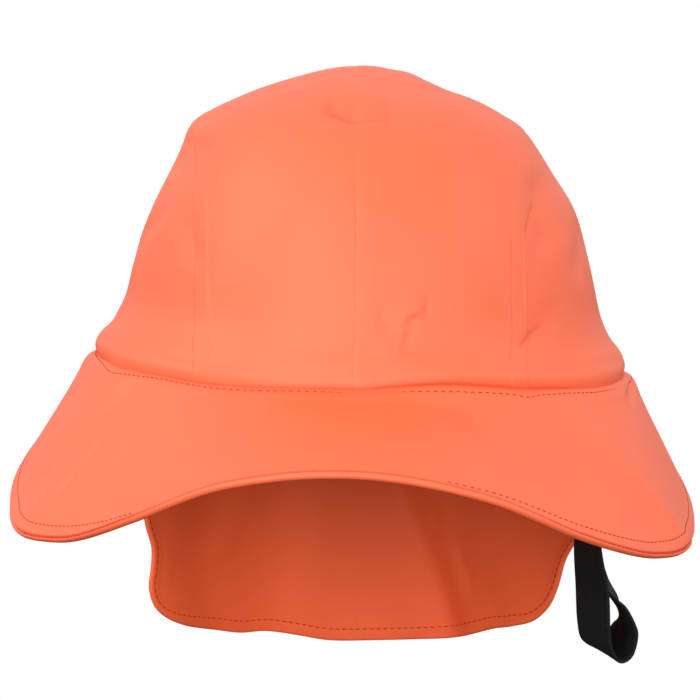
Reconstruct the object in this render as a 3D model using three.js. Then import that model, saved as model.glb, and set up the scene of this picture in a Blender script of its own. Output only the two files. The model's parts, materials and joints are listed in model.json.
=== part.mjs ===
// Rain hat for fishing: a crown of four cloth panels, one brim that is short and flared in front and
// hangs long behind, and a webbing strap that hangs in a loop inside the brim.
// Millimetres and degrees, +Z up. The front faces -Y and the wearer's left is +X.
// The origin is the centre of the head opening, level with the seam between crown and brim.
// A turn is measured round the opening: 0 in front, 90 at the wearer's left, 180 behind.
import * as THREE from "three";

// Driving dimensions
const OPENING_HALF_WIDTH = 86;
const OPENING_HALF_LENGTH = 99;
const CROWN_CLOTH = 1.4;
const BRIM_CLOTH = 1.8;
const SEAM_GAP = 0.3;

// The side seams lie this far from the middle at the brim, and this far up at their top, which is
// at the tenth section of the crown.
const SIDE_SEAM_LOW = 52;
const SIDE_SEAM_HIGH = 55;
const SIDE_SEAM_TOP_SECTION = 10;

// The seam sits this much lower at the wearer's left ear than at mid-width, and the crown takes the
// tilt up as far as TILT_END.
const SEAM_TILT = 2.2;
const TILT_END = 60;

// The brim leaves the seam level for the width of its shoulder, then bends down within BRIM_BEND.
const BRIM_SHOULDER = 2;
const BRIM_BEND = 4.5;
const CURL_LENGTH = 60;
const SLOPE_STEP = 15;
const WEBBING_WIDTH = 20;
const WEBBING_THICKNESS = 1.2;

// How finely the walls are divided, and how much closer together the divisions lie at the brim seam
const CROWN_PATH_STEPS = 34;
const CROWN_SEAM_CROWDING = 1.3;
const CENTRE_PANEL_COLUMNS = 6;
const SIDE_PANEL_ROWS = 11;
const BRIM_COLUMNS = 104;
const BRIM_ROWS = 10;
const BRIM_SEAM_CROWDING = 1.5;
const EDGE_SAMPLES = 9000;
const STRAP_STEPS = 56;

// Level sections of the crown, from the brim seam to the top: half the width, how far the middle
// lies to the wearer's left, and how far the section reaches in front and behind. The second row is
// the cloth that rolls out over the seam, and the last one is past the top, which it keeps level.
const CROWN_SECTIONS = [
  { height: 0, halfWidth: 85.6, middle: 0, front: 98.7, back: 98.9 },
  { height: 3.6, halfWidth: 87.6, middle: 0, front: 99.9, back: 100.6 },
  { height: 7.6, halfWidth: 86.3, middle: 0, front: 99.2, back: 100.2 },
  { height: 12.5, halfWidth: 82.5, middle: 0.2, front: 97.6, back: 98.8 },
  { height: 20, halfWidth: 78.9, middle: 0.5, front: 96, back: 97.4 },
  { height: 32, halfWidth: 76.1, middle: 0.4, front: 94, back: 95.8 },
  { height: 43, halfWidth: 73, middle: 0.2, front: 91.6, back: 93.6 },
  { height: 54, halfWidth: 68.4, middle: 0, front: 88.4, back: 90.2 },
  { height: 64, halfWidth: 63.2, middle: -0.5, front: 84, back: 85.6 },
  { height: 72, halfWidth: 58.8, middle: -1.1, front: 79, back: 80.2 },
  { height: 78.5, halfWidth: 54.7, middle: -1.9, front: 72.8, back: 73.6 },
  { height: 83.5, halfWidth: 48, middle: -2.3, front: 65, back: 65.2 },
  { height: 88, halfWidth: 39.2, middle: -2, front: 54.4, back: 54.6 },
  { height: 92, halfWidth: 29, middle: -2.3, front: 41.6, back: 42 },
  { height: 95.5, halfWidth: 18.8, middle: -1.9, front: 28, back: 28.4 },
  { height: 98, halfWidth: 9.2, middle: -1.6, front: 14, back: 14.2 },
  { height: 98.8, halfWidth: 0, middle: -1.6, front: 0, back: 0 },
  { height: 98, halfWidth: -9.2, middle: -1.6, front: -14, back: -14.2 },
];

const CROWN_TOP = CROWN_SECTIONS.length - 2;

// Soft folds in the front of the crown, seen from the front: each runs from one point to another
// across the cloth and is pressed in by its depth, or stands out where the depth is negative.
const CROWN_FOLDS = [
  { fromX: -14, fromZ: 83.5, toX: 11, toZ: 83.5, halfWidth: 4.5, depth: 1.6 },
  { fromX: 56, fromZ: 60, toX: 58, toZ: 47, halfWidth: 5, depth: 1.8 },
  { fromX: 25, fromZ: 33, toX: 8, toZ: 14, halfWidth: 5, depth: 1 },
  { fromX: 59, fromZ: 21, toX: 53, toZ: 12, halfWidth: 4.5, depth: 1.1 },
  { fromX: -53, fromZ: 71, toX: -57, toZ: 66, halfWidth: 5, depth: 1.4 },
];

// How steeply the brim falls below the level once it has bent down over its shoulder, and how much
// steeper it has become a CURL_LENGTH further out: a row for each SLOPE_STEP of turn, from behind.
const BRIM_SLOPES = [
  { slope: 80, curl: 3 },
  { slope: 80, curl: 3 },
  { slope: 80, curl: 4 },
  { slope: 79.4, curl: 5 },
  { slope: 73, curl: 4 },
  { slope: 64.5, curl: 1 },
  { slope: 61, curl: -2 },
  { slope: 60, curl: -1 },
  { slope: 56, curl: 0 },
  { slope: 50, curl: 4 },
  { slope: 37.8, curl: 4 },
  { slope: 21.4, curl: 4 },
  { slope: 16, curl: 4 },
  { slope: 23.3, curl: 4 },
  { slope: 39.1, curl: 4 },
  { slope: 50.3, curl: 4 },
  { slope: 55.8, curl: 3 },
  { slope: 62, curl: 1 },
  { slope: 63.5, curl: 0 },
  { slope: 66.8, curl: 3 },
  { slope: 75, curl: 5 },
  { slope: 80, curl: 5 },
  { slope: 81, curl: 4 },
  { slope: 80.6, curl: 3 },
  { slope: 80, curl: 3 },
];

// The cut edge of the brim, laid out flat: how far it lies from the seam at each turn.
const BRIM_EDGE = [
  { turn: -175, reach: 115.8 },
  { turn: -168, reach: 114 },
  { turn: -161, reach: 112.3 },
  { turn: -155, reach: 112.3 },
  { turn: -149, reach: 110.6 },
  { turn: -145, reach: 109.4 },
  { turn: -140, reach: 107.5 },
  { turn: -135.6, reach: 104.4 },
  { turn: -133, reach: 100.4 },
  { turn: -131.8, reach: 93.5 },
  { turn: -132.3, reach: 86 },
  { turn: -132.4, reach: 79 },
  { turn: -131.1, reach: 72 },
  { turn: -129.5, reach: 62.5 },
  { turn: -125, reach: 53 },
  { turn: -118, reach: 44.5 },
  { turn: -110, reach: 41.5 },
  { turn: -100, reach: 41.5 },
  { turn: -91, reach: 45 },
  { turn: -84, reach: 50 },
  { turn: -78, reach: 54.8 },
  { turn: -71, reach: 58.6 },
  { turn: -64, reach: 63.2 },
  { turn: -57, reach: 66.4 },
  { turn: -48, reach: 66.6 },
  { turn: -36, reach: 63.8 },
  { turn: -24, reach: 61 },
  { turn: -12, reach: 60.4 },
  { turn: 0, reach: 60.4 },
  { turn: 12, reach: 60.4 },
  { turn: 24, reach: 61.8 },
  { turn: 36, reach: 62.8 },
  { turn: 48, reach: 63.6 },
  { turn: 57, reach: 63 },
  { turn: 64, reach: 59.6 },
  { turn: 71, reach: 56.8 },
  { turn: 78, reach: 53.6 },
  { turn: 84, reach: 49.5 },
  { turn: 91, reach: 44.6 },
  { turn: 100, reach: 41 },
  { turn: 109, reach: 42 },
  { turn: 116, reach: 46.5 },
  { turn: 121, reach: 53.5 },
  { turn: 125, reach: 62.5 },
  { turn: 128, reach: 70.5 },
  { turn: 131, reach: 77.5 },
  { turn: 133.2, reach: 86.6 },
  { turn: 135.2, reach: 94.4 },
  { turn: 138.2, reach: 100.3 },
  { turn: 143, reach: 103.6 },
  { turn: 148, reach: 105.6 },
  { turn: 154, reach: 109 },
  { turn: 160, reach: 112 },
  { turn: 166, reach: 113.4 },
  { turn: 174, reach: 114.9 },
];

// Soft folds in the brim: each runs between two places given by turn and distance from the seam.
const BRIM_FOLDS = [
  { fromTurn: -50, fromReach: 12, toTurn: -64, toReach: 50, halfWidth: 7, depth: 1.6 },
  { fromTurn: 47, fromReach: 12, toTurn: 60, toReach: 58, halfWidth: 5, depth: -1.2 },
  { fromTurn: 172, fromReach: 30, toTurn: 158, toReach: 100, halfWidth: 7, depth: 2.4 },
  { fromTurn: -172, fromReach: 60, toTurn: -170, toReach: 112, halfWidth: 8, depth: 1.6 },
];

// The webbing, from the end sewn in at the ear to the end sewn in behind it. Turn and tilt give the
// direction across the webbing, towards its front edge.
const STRAP_STATIONS = [
  { x: 83.1, y: -2, z: 4, turn: -91, tilt: 0 },
  { x: 83, y: -2, z: -8, turn: -90, tilt: 0 },
  { x: 81, y: -1, z: -30, turn: -80, tilt: 1 },
  { x: 78.4, y: 0, z: -48, turn: -72, tilt: 2 },
  { x: 77.4, y: 0.9, z: -60, turn: -68, tilt: 4 },
  { x: 79.2, y: 0.9, z: -75, turn: -61, tilt: 3 },
  { x: 80.6, y: 0.9, z: -87, turn: -61, tilt: 7 },
  { x: 81.8, y: 0.9, z: -93.2, turn: -63, tilt: 5 },
  { x: 85, y: 0.9, z: -96.8, turn: -66, tilt: 0 },
  { x: 88.4, y: 0.9, z: -94.6, turn: -65, tilt: -2 },
  { x: 90.2, y: 1.2, z: -88.5, turn: -69, tilt: 5 },
  { x: 89.4, y: 2.4, z: -82, turn: -81, tilt: 6 },
  { x: 86.2, y: 6.6, z: -76.4, turn: -97, tilt: 6 },
  { x: 82.4, y: 11.5, z: -70, turn: -103, tilt: 4 },
  { x: 79.6, y: 16, z: -60, turn: -102, tilt: 4 },
  { x: 78.6, y: 19.4, z: -45, turn: -96, tilt: 2 },
  { x: 79.6, y: 21.5, z: -25, turn: -86, tilt: 0 },
  { x: 80.9, y: 21.5, z: -8, turn: -80, tilt: 0 },
  { x: 81.1, y: 21.5, z: 4, turn: -79, tilt: 0 },
];

const radians = THREE.MathUtils.degToRad;
const { lerp, clamp, smoothstep } = THREE.MathUtils;

// A smooth value between the rows of a table, at a place counted in rows from the first one.
function rowValue(rows, column, place) {
  const row = clamp(Math.floor(place), 0, rows.length - 2);
  const value = (index) => rows[clamp(index, 0, rows.length - 1)][column];
  const before = (value(row + 1) - value(row - 1)) / 2;
  const after = (value(row + 2) - value(row)) / 2;
  const t = place - row;
  const rise = 3 * t * t - 2 * t * t * t;
  return lerp(value(row), value(row + 1), rise) + before * t * (1 - t) ** 2 - after * t * t * (1 - t);
}

// How far a fold that runs from one flat point to another presses the cloth in at a third point.
function foldDepth(point, from, to, halfWidth, depth) {
  const run = to.clone().sub(from);
  const along = clamp(point.clone().sub(from).dot(run) / run.lengthSq(), 0, 1);
  const nearest = from.clone().addScaledVector(run, along);
  const away = point.distanceTo(nearest) / halfWidth;
  return depth * Math.exp(-away * away);
}

// A closed wall from two like grids of points, the outer face and the inner one. A ring joins its
// last column to its first.
function wallGeometry(outer, inner, isRing) {
  const columns = outer.length;
  const rows = outer[0].length;
  const points = [...outer.flat(), ...inner.flat()];
  const at = (layer, column, row) => layer * columns * rows + (column % columns) * rows + row;
  const faces = [];
  const quad = (a, b, c, d) => faces.push(a, b, c, a, c, d);
  const steps = isRing ? columns : columns - 1;
  for (let i = 0; i < steps; i++) {
    for (let j = 0; j < rows - 1; j++) {
      quad(at(0, i, j), at(0, i + 1, j), at(0, i + 1, j + 1), at(0, i, j + 1));
      quad(at(1, i, j), at(1, i, j + 1), at(1, i + 1, j + 1), at(1, i + 1, j));
    }
    const last = rows - 1;
    quad(at(0, i, 0), at(1, i, 0), at(1, i + 1, 0), at(0, i + 1, 0));
    quad(at(0, i, last), at(0, i + 1, last), at(1, i + 1, last), at(1, i, last));
  }
  for (let j = 0; j < rows - 1 && !isRing; j++) {
    const end = columns - 1;
    quad(at(0, 0, j), at(0, 0, j + 1), at(1, 0, j + 1), at(1, 0, j));
    quad(at(0, end, j), at(1, end, j), at(1, end, j + 1), at(0, end, j + 1));
  }
  const geometry = new THREE.BufferGeometry().setFromPoints(points);
  geometry.setIndex(signedVolume(points, faces) < 0 ? faces.reverse() : faces);
  geometry.computeVertexNormals();
  return geometry;
}

function signedVolume(points, faces) {
  let volume = 0;
  for (let i = 0; i < faces.length; i += 3) {
    const [a, b, c] = [points[faces[i]], points[faces[i + 1]], points[faces[i + 2]]];
    volume += a.dot(b.clone().cross(c)) / 6;
  }
  return volume;
}

// Crown

// The height of the seam between crown and brim, which sits a little lower on the wearer's left.
function seamHeight(x) {
  return (-SEAM_TILT * x) / OPENING_HALF_WIDTH;
}

// How far the folds press the front of the crown in, at a place seen from the front.
function crownFold(x, z) {
  const point = new THREE.Vector2(x, z);
  let total = 0;
  for (const fold of CROWN_FOLDS) {
    const from = new THREE.Vector2(fold.fromX, fold.fromZ);
    const to = new THREE.Vector2(fold.toX, fold.toZ);
    total += foldDepth(point, from, to, fold.halfWidth, fold.depth);
  }
  return total;
}

// A point of the crown before folding, from the turn and the place in the table of sections.
function plainCrownPoint(turn, place) {
  const front = Math.cos(turn) > 0;
  const reach = rowValue(CROWN_SECTIONS, front ? "front" : "back", place);
  const halfWidth = rowValue(CROWN_SECTIONS, "halfWidth", place);
  const x = halfWidth * Math.sin(turn);
  const height = rowValue(CROWN_SECTIONS, "height", place);
  const middle = rowValue(CROWN_SECTIONS, "middle", place);
  const tilt = seamHeight(x) * (1 - smoothstep(height, 0, TILT_END));
  return new THREE.Vector3(x + middle, -reach * Math.cos(turn), height + tilt);
}

// The outward direction of the crown before folding, which turns straight up at the very top.
function crownNormal(turn, place) {
  const step = 0.02;
  const inside = Math.min(place, CROWN_TOP - 0.5);
  const upward = plainCrownPoint(turn, inside + step).sub(plainCrownPoint(turn, inside - step));
  const around = plainCrownPoint(turn + step, inside).sub(plainCrownPoint(turn - step, inside));
  const level = smoothstep(place, CROWN_TOP - 1, CROWN_TOP);
  return around.cross(upward).normalize().lerp(new THREE.Vector3(0, 0, 1), level).normalize();
}

// A point of the folded crown at a depth below its outer face.
function crownPoint(turn, place, depth) {
  const point = plainCrownPoint(turn, place);
  const fold = point.y < 0 ? crownFold(point.x, point.z) : 0;
  return point.addScaledVector(crownNormal(turn, place), -depth - fold);
}

function sideSeamX(place) {
  return lerp(SIDE_SEAM_LOW, SIDE_SEAM_HIGH, clamp(place / SIDE_SEAM_TOP_SECTION, 0, 1));
}

// The highest place at which the crown is still as wide as a share of the centre strip.
function topPlace(offset) {
  let low = 0;
  let high = CROWN_TOP;
  for (let i = 0; i < 40; i++) {
    const middle = (low + high) / 2;
    const isWide = rowValue(CROWN_SECTIONS, "halfWidth", middle) > offset(middle);
    [low, high] = isWide ? [middle, high] : [low, middle];
  }
  return low;
}

// One step of a path over the crown from front to back, at the sideways offset given. The side is
// 1 for the wearer's left and -1 for the wearer's right.
function pathStep(side, offset, share) {
  const fromFront = 1 - Math.abs(2 * share - 1);
  const rise = Math.sin((Math.PI / 2) * fromFront ** CROWN_SEAM_CROWDING);
  const place = topPlace(offset) * rise;
  const halfWidth = rowValue(CROWN_SECTIONS, "halfWidth", place);
  const turn = Math.asin(clamp(offset(place) / halfWidth, 0, 1));
  return { turn: side * (share > 0.5 ? Math.PI - turn : turn), place };
}

// A panel of the centre strip, between the middle seam and one side seam.
function centrePanel(side) {
  const faces = [0, CROWN_CLOTH].map((depth) => {
    const columns = [];
    for (let i = 0; i <= CROWN_PATH_STEPS; i++) {
      const column = [];
      for (let j = 0; j <= CENTRE_PANEL_COLUMNS; j++) {
        const across = j / CENTRE_PANEL_COLUMNS;
        const offset = (place) => lerp(SEAM_GAP / 2, sideSeamX(place) - SEAM_GAP / 2, across);
        const step = pathStep(side, offset, i / CROWN_PATH_STEPS);
        column.push(crownPoint(step.turn, step.place, depth));
      }
      columns.push(column);
    }
    return columns;
  });
  return wallGeometry(faces[0], faces[1], false);
}

// A D-shaped side panel: its curved edge follows the side seam, its straight edge the brim seam.
function sidePanel(side) {
  const offset = (place) => sideSeamX(place) + SEAM_GAP / 2;
  const firstShare = 2 / CROWN_PATH_STEPS;
  const firstTurn = pathStep(side, offset, 0).turn;
  const lastTurn = pathStep(side, offset, 1).turn;
  const faces = [0, CROWN_CLOTH].map((depth) => {
    const columns = [];
    for (let i = 0; i <= CROWN_PATH_STEPS; i++) {
      const along = i / CROWN_PATH_STEPS;
      const seam = pathStep(side, offset, lerp(firstShare, 1 - firstShare, along));
      const baseTurn = lerp(firstTurn, lastTurn, along);
      const column = [];
      for (let j = 0; j <= SIDE_PANEL_ROWS; j++) {
        const down = j / SIDE_PANEL_ROWS;
        column.push(crownPoint(lerp(seam.turn, baseTurn, down), seam.place * (1 - down), depth));
      }
      columns.push(column);
    }
    return columns;
  });
  return wallGeometry(faces[0], faces[1], false);
}

// Brim

// How far the folds press the brim in, at a turn and a distance from the seam.
function brimFold(turn, reach) {
  const perTurn = radians(1) * OPENING_HALF_LENGTH;
  const point = new THREE.Vector2(turn * perTurn, reach);
  let total = 0;
  for (const fold of BRIM_FOLDS) {
    const from = new THREE.Vector2(fold.fromTurn * perTurn, fold.fromReach);
    const to = new THREE.Vector2(fold.toTurn * perTurn, fold.toReach);
    total += foldDepth(point, from, to, fold.halfWidth, fold.depth);
  }
  return total;
}

// A point of the brim before folding, by turn and by distance from the seam along the cloth. It
// leaves the seam nearly level, bends down over its shoulder and then falls at its own slope.
function plainBrimPoint(turn, reach) {
  const angle = radians(turn);
  const place = THREE.MathUtils.euclideanModulo(turn + 180, 360) / SLOPE_STEP;
  const slope = radians(rowValue(BRIM_SLOPES, "slope", place));
  const curl = radians(rowValue(BRIM_SLOPES, "curl", place));
  const radius = BRIM_BEND / slope;
  const bent = clamp(reach - BRIM_SHOULDER, 0, BRIM_BEND);
  const past = Math.max(reach - BRIM_SHOULDER - BRIM_BEND, 0);
  const steeper = slope + (curl * past) / CURL_LENGTH;
  const out = Math.min(reach, BRIM_SHOULDER) + radius * Math.sin(bent / radius) + past * Math.cos(steeper);
  const down = radius * (1 - Math.cos(bent / radius)) + past * Math.sin(steeper);
  const x = OPENING_HALF_WIDTH * Math.sin(angle);
  const y = -OPENING_HALF_LENGTH * Math.cos(angle);
  const outward = new THREE.Vector2(x / OPENING_HALF_WIDTH ** 2, y / OPENING_HALF_LENGTH ** 2);
  outward.normalize().multiplyScalar(out);
  return new THREE.Vector3(x + outward.x, y + outward.y, seamHeight(x) - down);
}

// A point of the folded brim at a depth below its outer face.
function brimPoint(turn, reach, depth) {
  const step = 0.5;
  const along = plainBrimPoint(turn + step, reach).sub(plainBrimPoint(turn - step, reach));
  const outward = plainBrimPoint(turn, reach + step).sub(plainBrimPoint(turn, reach - step));
  const normal = outward.cross(along).normalize();
  return plainBrimPoint(turn, reach).addScaledVector(normal, -depth - brimFold(turn, reach));
}

// The cut edge, as points of turn and reach that are evenly spaced along it, starting behind.
function brimEdge() {
  const perTurn = radians(1) * OPENING_HALF_LENGTH;
  const points = [-360, 0, 360].flatMap((shift) =>
    BRIM_EDGE.map((row) => new THREE.Vector3((row.turn + shift) * perTurn, row.reach, 0)),
  );
  const curve = new THREE.CatmullRomCurve3(points, false, "centripetal");
  curve.arcLengthDivisions = EDGE_SAMPLES;
  const once = curve.getSpacedPoints(EDGE_SAMPLES).filter((point) => Math.abs(point.x) < 180 * perTurn);
  const edge = [];
  for (let i = 0; i < BRIM_COLUMNS; i++) {
    const point = once[Math.floor((i / BRIM_COLUMNS) * once.length)];
    edge.push({ turn: point.x / perTurn, reach: point.y });
  }
  return edge;
}

// The brim's inner edge lies under the crown's wall.
function brimWall() {
  const faces = [0, BRIM_CLOTH].map((depth) =>
    brimEdge().map((edge, i) => {
      const seamTurn = (360 * i) / BRIM_COLUMNS - 180;
      const column = [];
      for (let j = 0; j <= BRIM_ROWS; j++) {
        const out = (j / BRIM_ROWS) ** BRIM_SEAM_CROWDING;
        const reach = lerp(-CROWN_CLOTH, edge.reach, out);
        column.push(brimPoint(lerp(seamTurn, edge.turn, out), reach, depth));
      }
      return column;
    }),
  );
  return wallGeometry(faces[0], faces[1], true);
}

// Strap

// The two faces of the webbing across its width, at a place counted in stations.
function webbingSection(place) {
  const centreAt = (where) =>
    new THREE.Vector3(...["x", "y", "z"].map((column) => rowValue(STRAP_STATIONS, column, where)));
  const step = 0.05;
  const last = STRAP_STATIONS.length - 1;
  const along = centreAt(Math.min(place + step, last)).sub(centreAt(Math.max(place - step, 0)));
  const turn = radians(rowValue(STRAP_STATIONS, "turn", place));
  const tilt = radians(rowValue(STRAP_STATIONS, "tilt", place));
  const across = new THREE.Vector3(
    Math.cos(tilt) * Math.cos(turn),
    Math.cos(tilt) * Math.sin(turn),
    Math.sin(tilt),
  );
  const face = along.clone().cross(across).normalize();
  const width = face.clone().cross(along).normalize();
  const pointAt = (sideways, outward) =>
    centreAt(place)
      .addScaledVector(width, (sideways * WEBBING_WIDTH) / 2)
      .addScaledVector(face, (outward * WEBBING_THICKNESS) / 2);
  return [1, -1].map((outward) => [-1, 0, 1].map((sideways) => pointAt(sideways, outward)));
}

function strapWall() {
  const outer = [];
  const inner = [];
  for (let i = 0; i <= STRAP_STEPS; i++) {
    const [front, back] = webbingSection((i / STRAP_STEPS) * (STRAP_STATIONS.length - 1));
    outer.push(front);
    inner.push(back);
  }
  return wallGeometry(outer, inner, false);
}

// Assembly

const CORAL_CLOTH = { color: 0xf7683d, roughness: 0.42, metalness: 0 };
const BLACK_WEBBING = { color: 0x16191a, roughness: 0.7, metalness: 0 };

function addPiece(group, name, geometry, finish) {
  const piece = new THREE.Mesh(geometry, new THREE.MeshStandardMaterial(finish));
  piece.name = name;
  group.add(piece);
  return piece;
}

const hat = new THREE.Group();
addPiece(hat, "crown_centre_left", centrePanel(1), CORAL_CLOTH);
addPiece(hat, "crown_centre_right", centrePanel(-1), CORAL_CLOTH);
addPiece(hat, "crown_side_left", sidePanel(1), CORAL_CLOTH);
addPiece(hat, "crown_side_right", sidePanel(-1), CORAL_CLOTH);
addPiece(hat, "brim", brimWall(), CORAL_CLOTH).position.z = -SEAM_GAP;
addPiece(hat, "chin_strap", strapWall(), BLACK_WEBBING);

export default hat;
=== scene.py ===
# A rain hat for fishing in coated coral cloth: a crown of four panels, a brim that is short and flared
# in front and hangs long behind, and a loop of black webbing. It is laid out as a Blender add-on.
# Shapes are worked out in millimetres and made in metres. The front faces -Y and the wearer's left
# is +X. A turn is measured round the opening: 0 in front, 90 at the wearer's left, 180 behind.
import json
import math

import bpy
import numpy as np
from bpy.props import FloatProperty, FloatVectorProperty, PointerProperty
from mathutils import Matrix, Vector
from mathutils.kdtree import KDTree


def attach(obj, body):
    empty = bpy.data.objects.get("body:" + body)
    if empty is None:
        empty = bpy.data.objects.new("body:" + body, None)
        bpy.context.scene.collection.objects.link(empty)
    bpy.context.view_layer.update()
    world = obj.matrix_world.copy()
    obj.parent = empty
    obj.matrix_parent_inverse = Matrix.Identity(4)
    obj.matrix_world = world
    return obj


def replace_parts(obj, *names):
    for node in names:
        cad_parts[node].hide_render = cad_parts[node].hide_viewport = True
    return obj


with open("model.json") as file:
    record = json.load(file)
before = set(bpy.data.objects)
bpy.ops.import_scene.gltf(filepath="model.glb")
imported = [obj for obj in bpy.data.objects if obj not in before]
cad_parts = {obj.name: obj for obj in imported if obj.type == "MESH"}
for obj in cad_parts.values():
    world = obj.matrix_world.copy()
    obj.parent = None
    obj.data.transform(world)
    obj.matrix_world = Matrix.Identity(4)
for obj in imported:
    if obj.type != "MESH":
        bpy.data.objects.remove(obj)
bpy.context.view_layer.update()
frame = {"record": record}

bl_info = {
    "name": "Rain Hat for Fishing",
    "version": (1, 0, 0),
    "blender": (4, 5, 0),
    "location": "View3D > Sidebar > Rain Hat",
    "description": "Builds a rain hat in coated cloth with a long back brim and a webbing loop",
    "category": "Object",
}

BODY = "root"
MM = 0.001
SLOT_COLOURS = {row["slot"]: row["base_color"] for row in frame["record"]["materials"]}


def table(names, *rows):
    """A table with named columns, as an array for each column."""
    return dict(zip(names.split(), np.array(rows, float).T))


# Driving dimensions in millimetres, which are those of the solids
OPENING_HALF_WIDTH = 86.0
OPENING_HALF_LENGTH = 99.0
CROWN_CLOTH = 1.4
BRIM_CLOTH = 1.8
SEAM_GAP = 0.3
SIDE_SEAM_LOW = 52.0
SIDE_SEAM_HIGH = 55.0
SIDE_SEAM_TOP_SECTION = 10
SEAM_TILT = 2.2
TILT_END = 60.0
BRIM_SHOULDER = 2.0
BRIM_BEND = 4.5
CURL_LENGTH = 60.0
WEBBING_WIDTH = 20.0
WEBBING_THICKNESS = 1.2

# Level sections of the crown, from the brim seam to past the top
CROWN_SECTIONS = table(
    "height half_width middle front back",
    (0, 85.6, 0, 98.7, 98.9),
    (3.6, 87.6, 0, 99.9, 100.6),
    (7.6, 86.3, 0, 99.2, 100.2),
    (12.5, 82.5, 0.2, 97.6, 98.8),
    (20, 78.9, 0.5, 96, 97.4),
    (32, 76.1, 0.4, 94, 95.8),
    (43, 73, 0.2, 91.6, 93.6),
    (54, 68.4, 0, 88.4, 90.2),
    (64, 63.2, -0.5, 84, 85.6),
    (72, 58.8, -1.1, 79, 80.2),
    (78.5, 54.7, -1.9, 72.8, 73.6),
    (83.5, 48, -2.3, 65, 65.2),
    (88, 39.2, -2, 54.4, 54.6),
    (92, 29, -2.3, 41.6, 42),
    (95.5, 18.8, -1.9, 28, 28.4),
    (98, 9.2, -1.6, 14, 14.2),
    (98.8, 0, -1.6, 0, 0),
    (98, -9.2, -1.6, -14, -14.2),
)
CROWN_TOP = len(CROWN_SECTIONS["height"]) - 2

# How steeply the brim falls and how much steeper it grows, for each 15 degrees of turn from behind
BRIM_SLOPES = table(
    "slope curl",
    (80, 3),
    (80, 3),
    (80, 4),
    (79.4, 5),
    (73, 4),
    (64.5, 1),
    (61, -2),
    (60, -1),
    (56, 0),
    (50, 4),
    (37.8, 4),
    (21.4, 4),
    (16, 4),
    (23.3, 4),
    (39.1, 4),
    (50.3, 4),
    (55.8, 3),
    (62, 1),
    (63.5, 0),
    (66.8, 3),
    (75, 5),
    (80, 5),
    (81, 4),
    (80.6, 3),
    (80, 3),
)
SLOPE_STEP = 15.0

# The cut edge of the brim laid out flat: how far it lies from the seam at each turn
BRIM_EDGE = table(
    "turn reach",
    (-175, 115.8),
    (-168, 114),
    (-161, 112.3),
    (-155, 112.3),
    (-149, 110.6),
    (-145, 109.4),
    (-140, 107.5),
    (-135.6, 104.4),
    (-133, 100.4),
    (-131.8, 93.5),
    (-132.3, 86),
    (-132.4, 79),
    (-131.1, 72),
    (-129.5, 62.5),
    (-125, 53),
    (-118, 44.5),
    (-110, 41.5),
    (-100, 41.5),
    (-91, 45),
    (-84, 50),
    (-78, 54.8),
    (-71, 58.6),
    (-64, 63.2),
    (-57, 66.2),
    (-48, 65.6),
    (-36, 63.8),
    (-24, 61),
    (-12, 60.4),
    (0, 60.4),
    (12, 60.4),
    (24, 61.8),
    (36, 62.8),
    (48, 63.6),
    (57, 63),
    (64, 59.6),
    (71, 56.8),
    (78, 53.6),
    (84, 49.5),
    (91, 44.6),
    (100, 41),
    (109, 42),
    (116, 46.5),
    (121, 53.5),
    (125, 62.5),
    (128.2, 70.5),
    (130.6, 77.5),
    (132, 86.6),
    (133.8, 94.2),
    (137.2, 100.1),
    (143, 103.6),
    (148, 105.6),
    (154, 109),
    (160, 112),
    (166, 113.4),
    (174, 114.9),
)

# How far the seam between crown and brim rises from its even line, and how far from it the stitches
# beside it lie, at each turn
SEAM_LINE = table(
    "turn rise stitches",
    (-180, 0.5, 4.4),
    (-150, -0.4, 4.8),
    (-125, 0.8, 4.2),
    (-110, 0.4, 4.2),
    (-90, 0.3, 2),
    (-78, 1.4, 2.4),
    (-67, 1.8, 4.3),
    (-60, 1, 6),
    (-54, 0.7, 5.2),
    (-48, 0.3, 4.4),
    (-38, -0.6, 4.9),
    (-29, -0.8, 5.9),
    (-20, 0.1, 5.8),
    (-10, 1.1, 5),
    (0, 1.7, 4.5),
    (9, 3.4, 4.2),
    (17, 4.3, 4.3),
    (24, 3.9, 4.4),
    (31, 3, 4.8),
    (34.5, 2.5, 5.7),
    (38, 2.1, 5),
    (41.5, 2, 4.9),
    (48, 1.6, 4.9),
    (56, 1.3, 5.2),
    (67, 1.3, 5),
    (82, 1.2, 4.6),
    (100, 0.6, 4.4),
    (125, -0.3, 4.8),
    (152, 0.7, 4.3),
    (180, 0.5, 4.4),
)

# How far the seam's uneven line reaches up the crown and out along the brim, how far the crown's edge
# tucks into the seam, and how far its base stands out: in front and behind, less at the sides and
# more at the temples, before it rolls in at the very edge
SEAM_RISE_UP = 16.0
SEAM_RISE_OUT = 12.0
SEAM_OVERLAP = 0.45
SEAM_OVERLAP_UP = 2.0
BASE_FILL = 1.9
BASE_FILL_SIDES = 1.3
BASE_FILL_EVEN = 10
BASE_FILL_CORNERS = 2.3
BASE_CORNER = 62.0
BASE_CORNER_REACH = 15.0
BASE_FILL_HEIGHT = 5.0
BASE_CORNER_HEIGHT = 6.6
BASE_ROLL = 0.6

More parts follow.
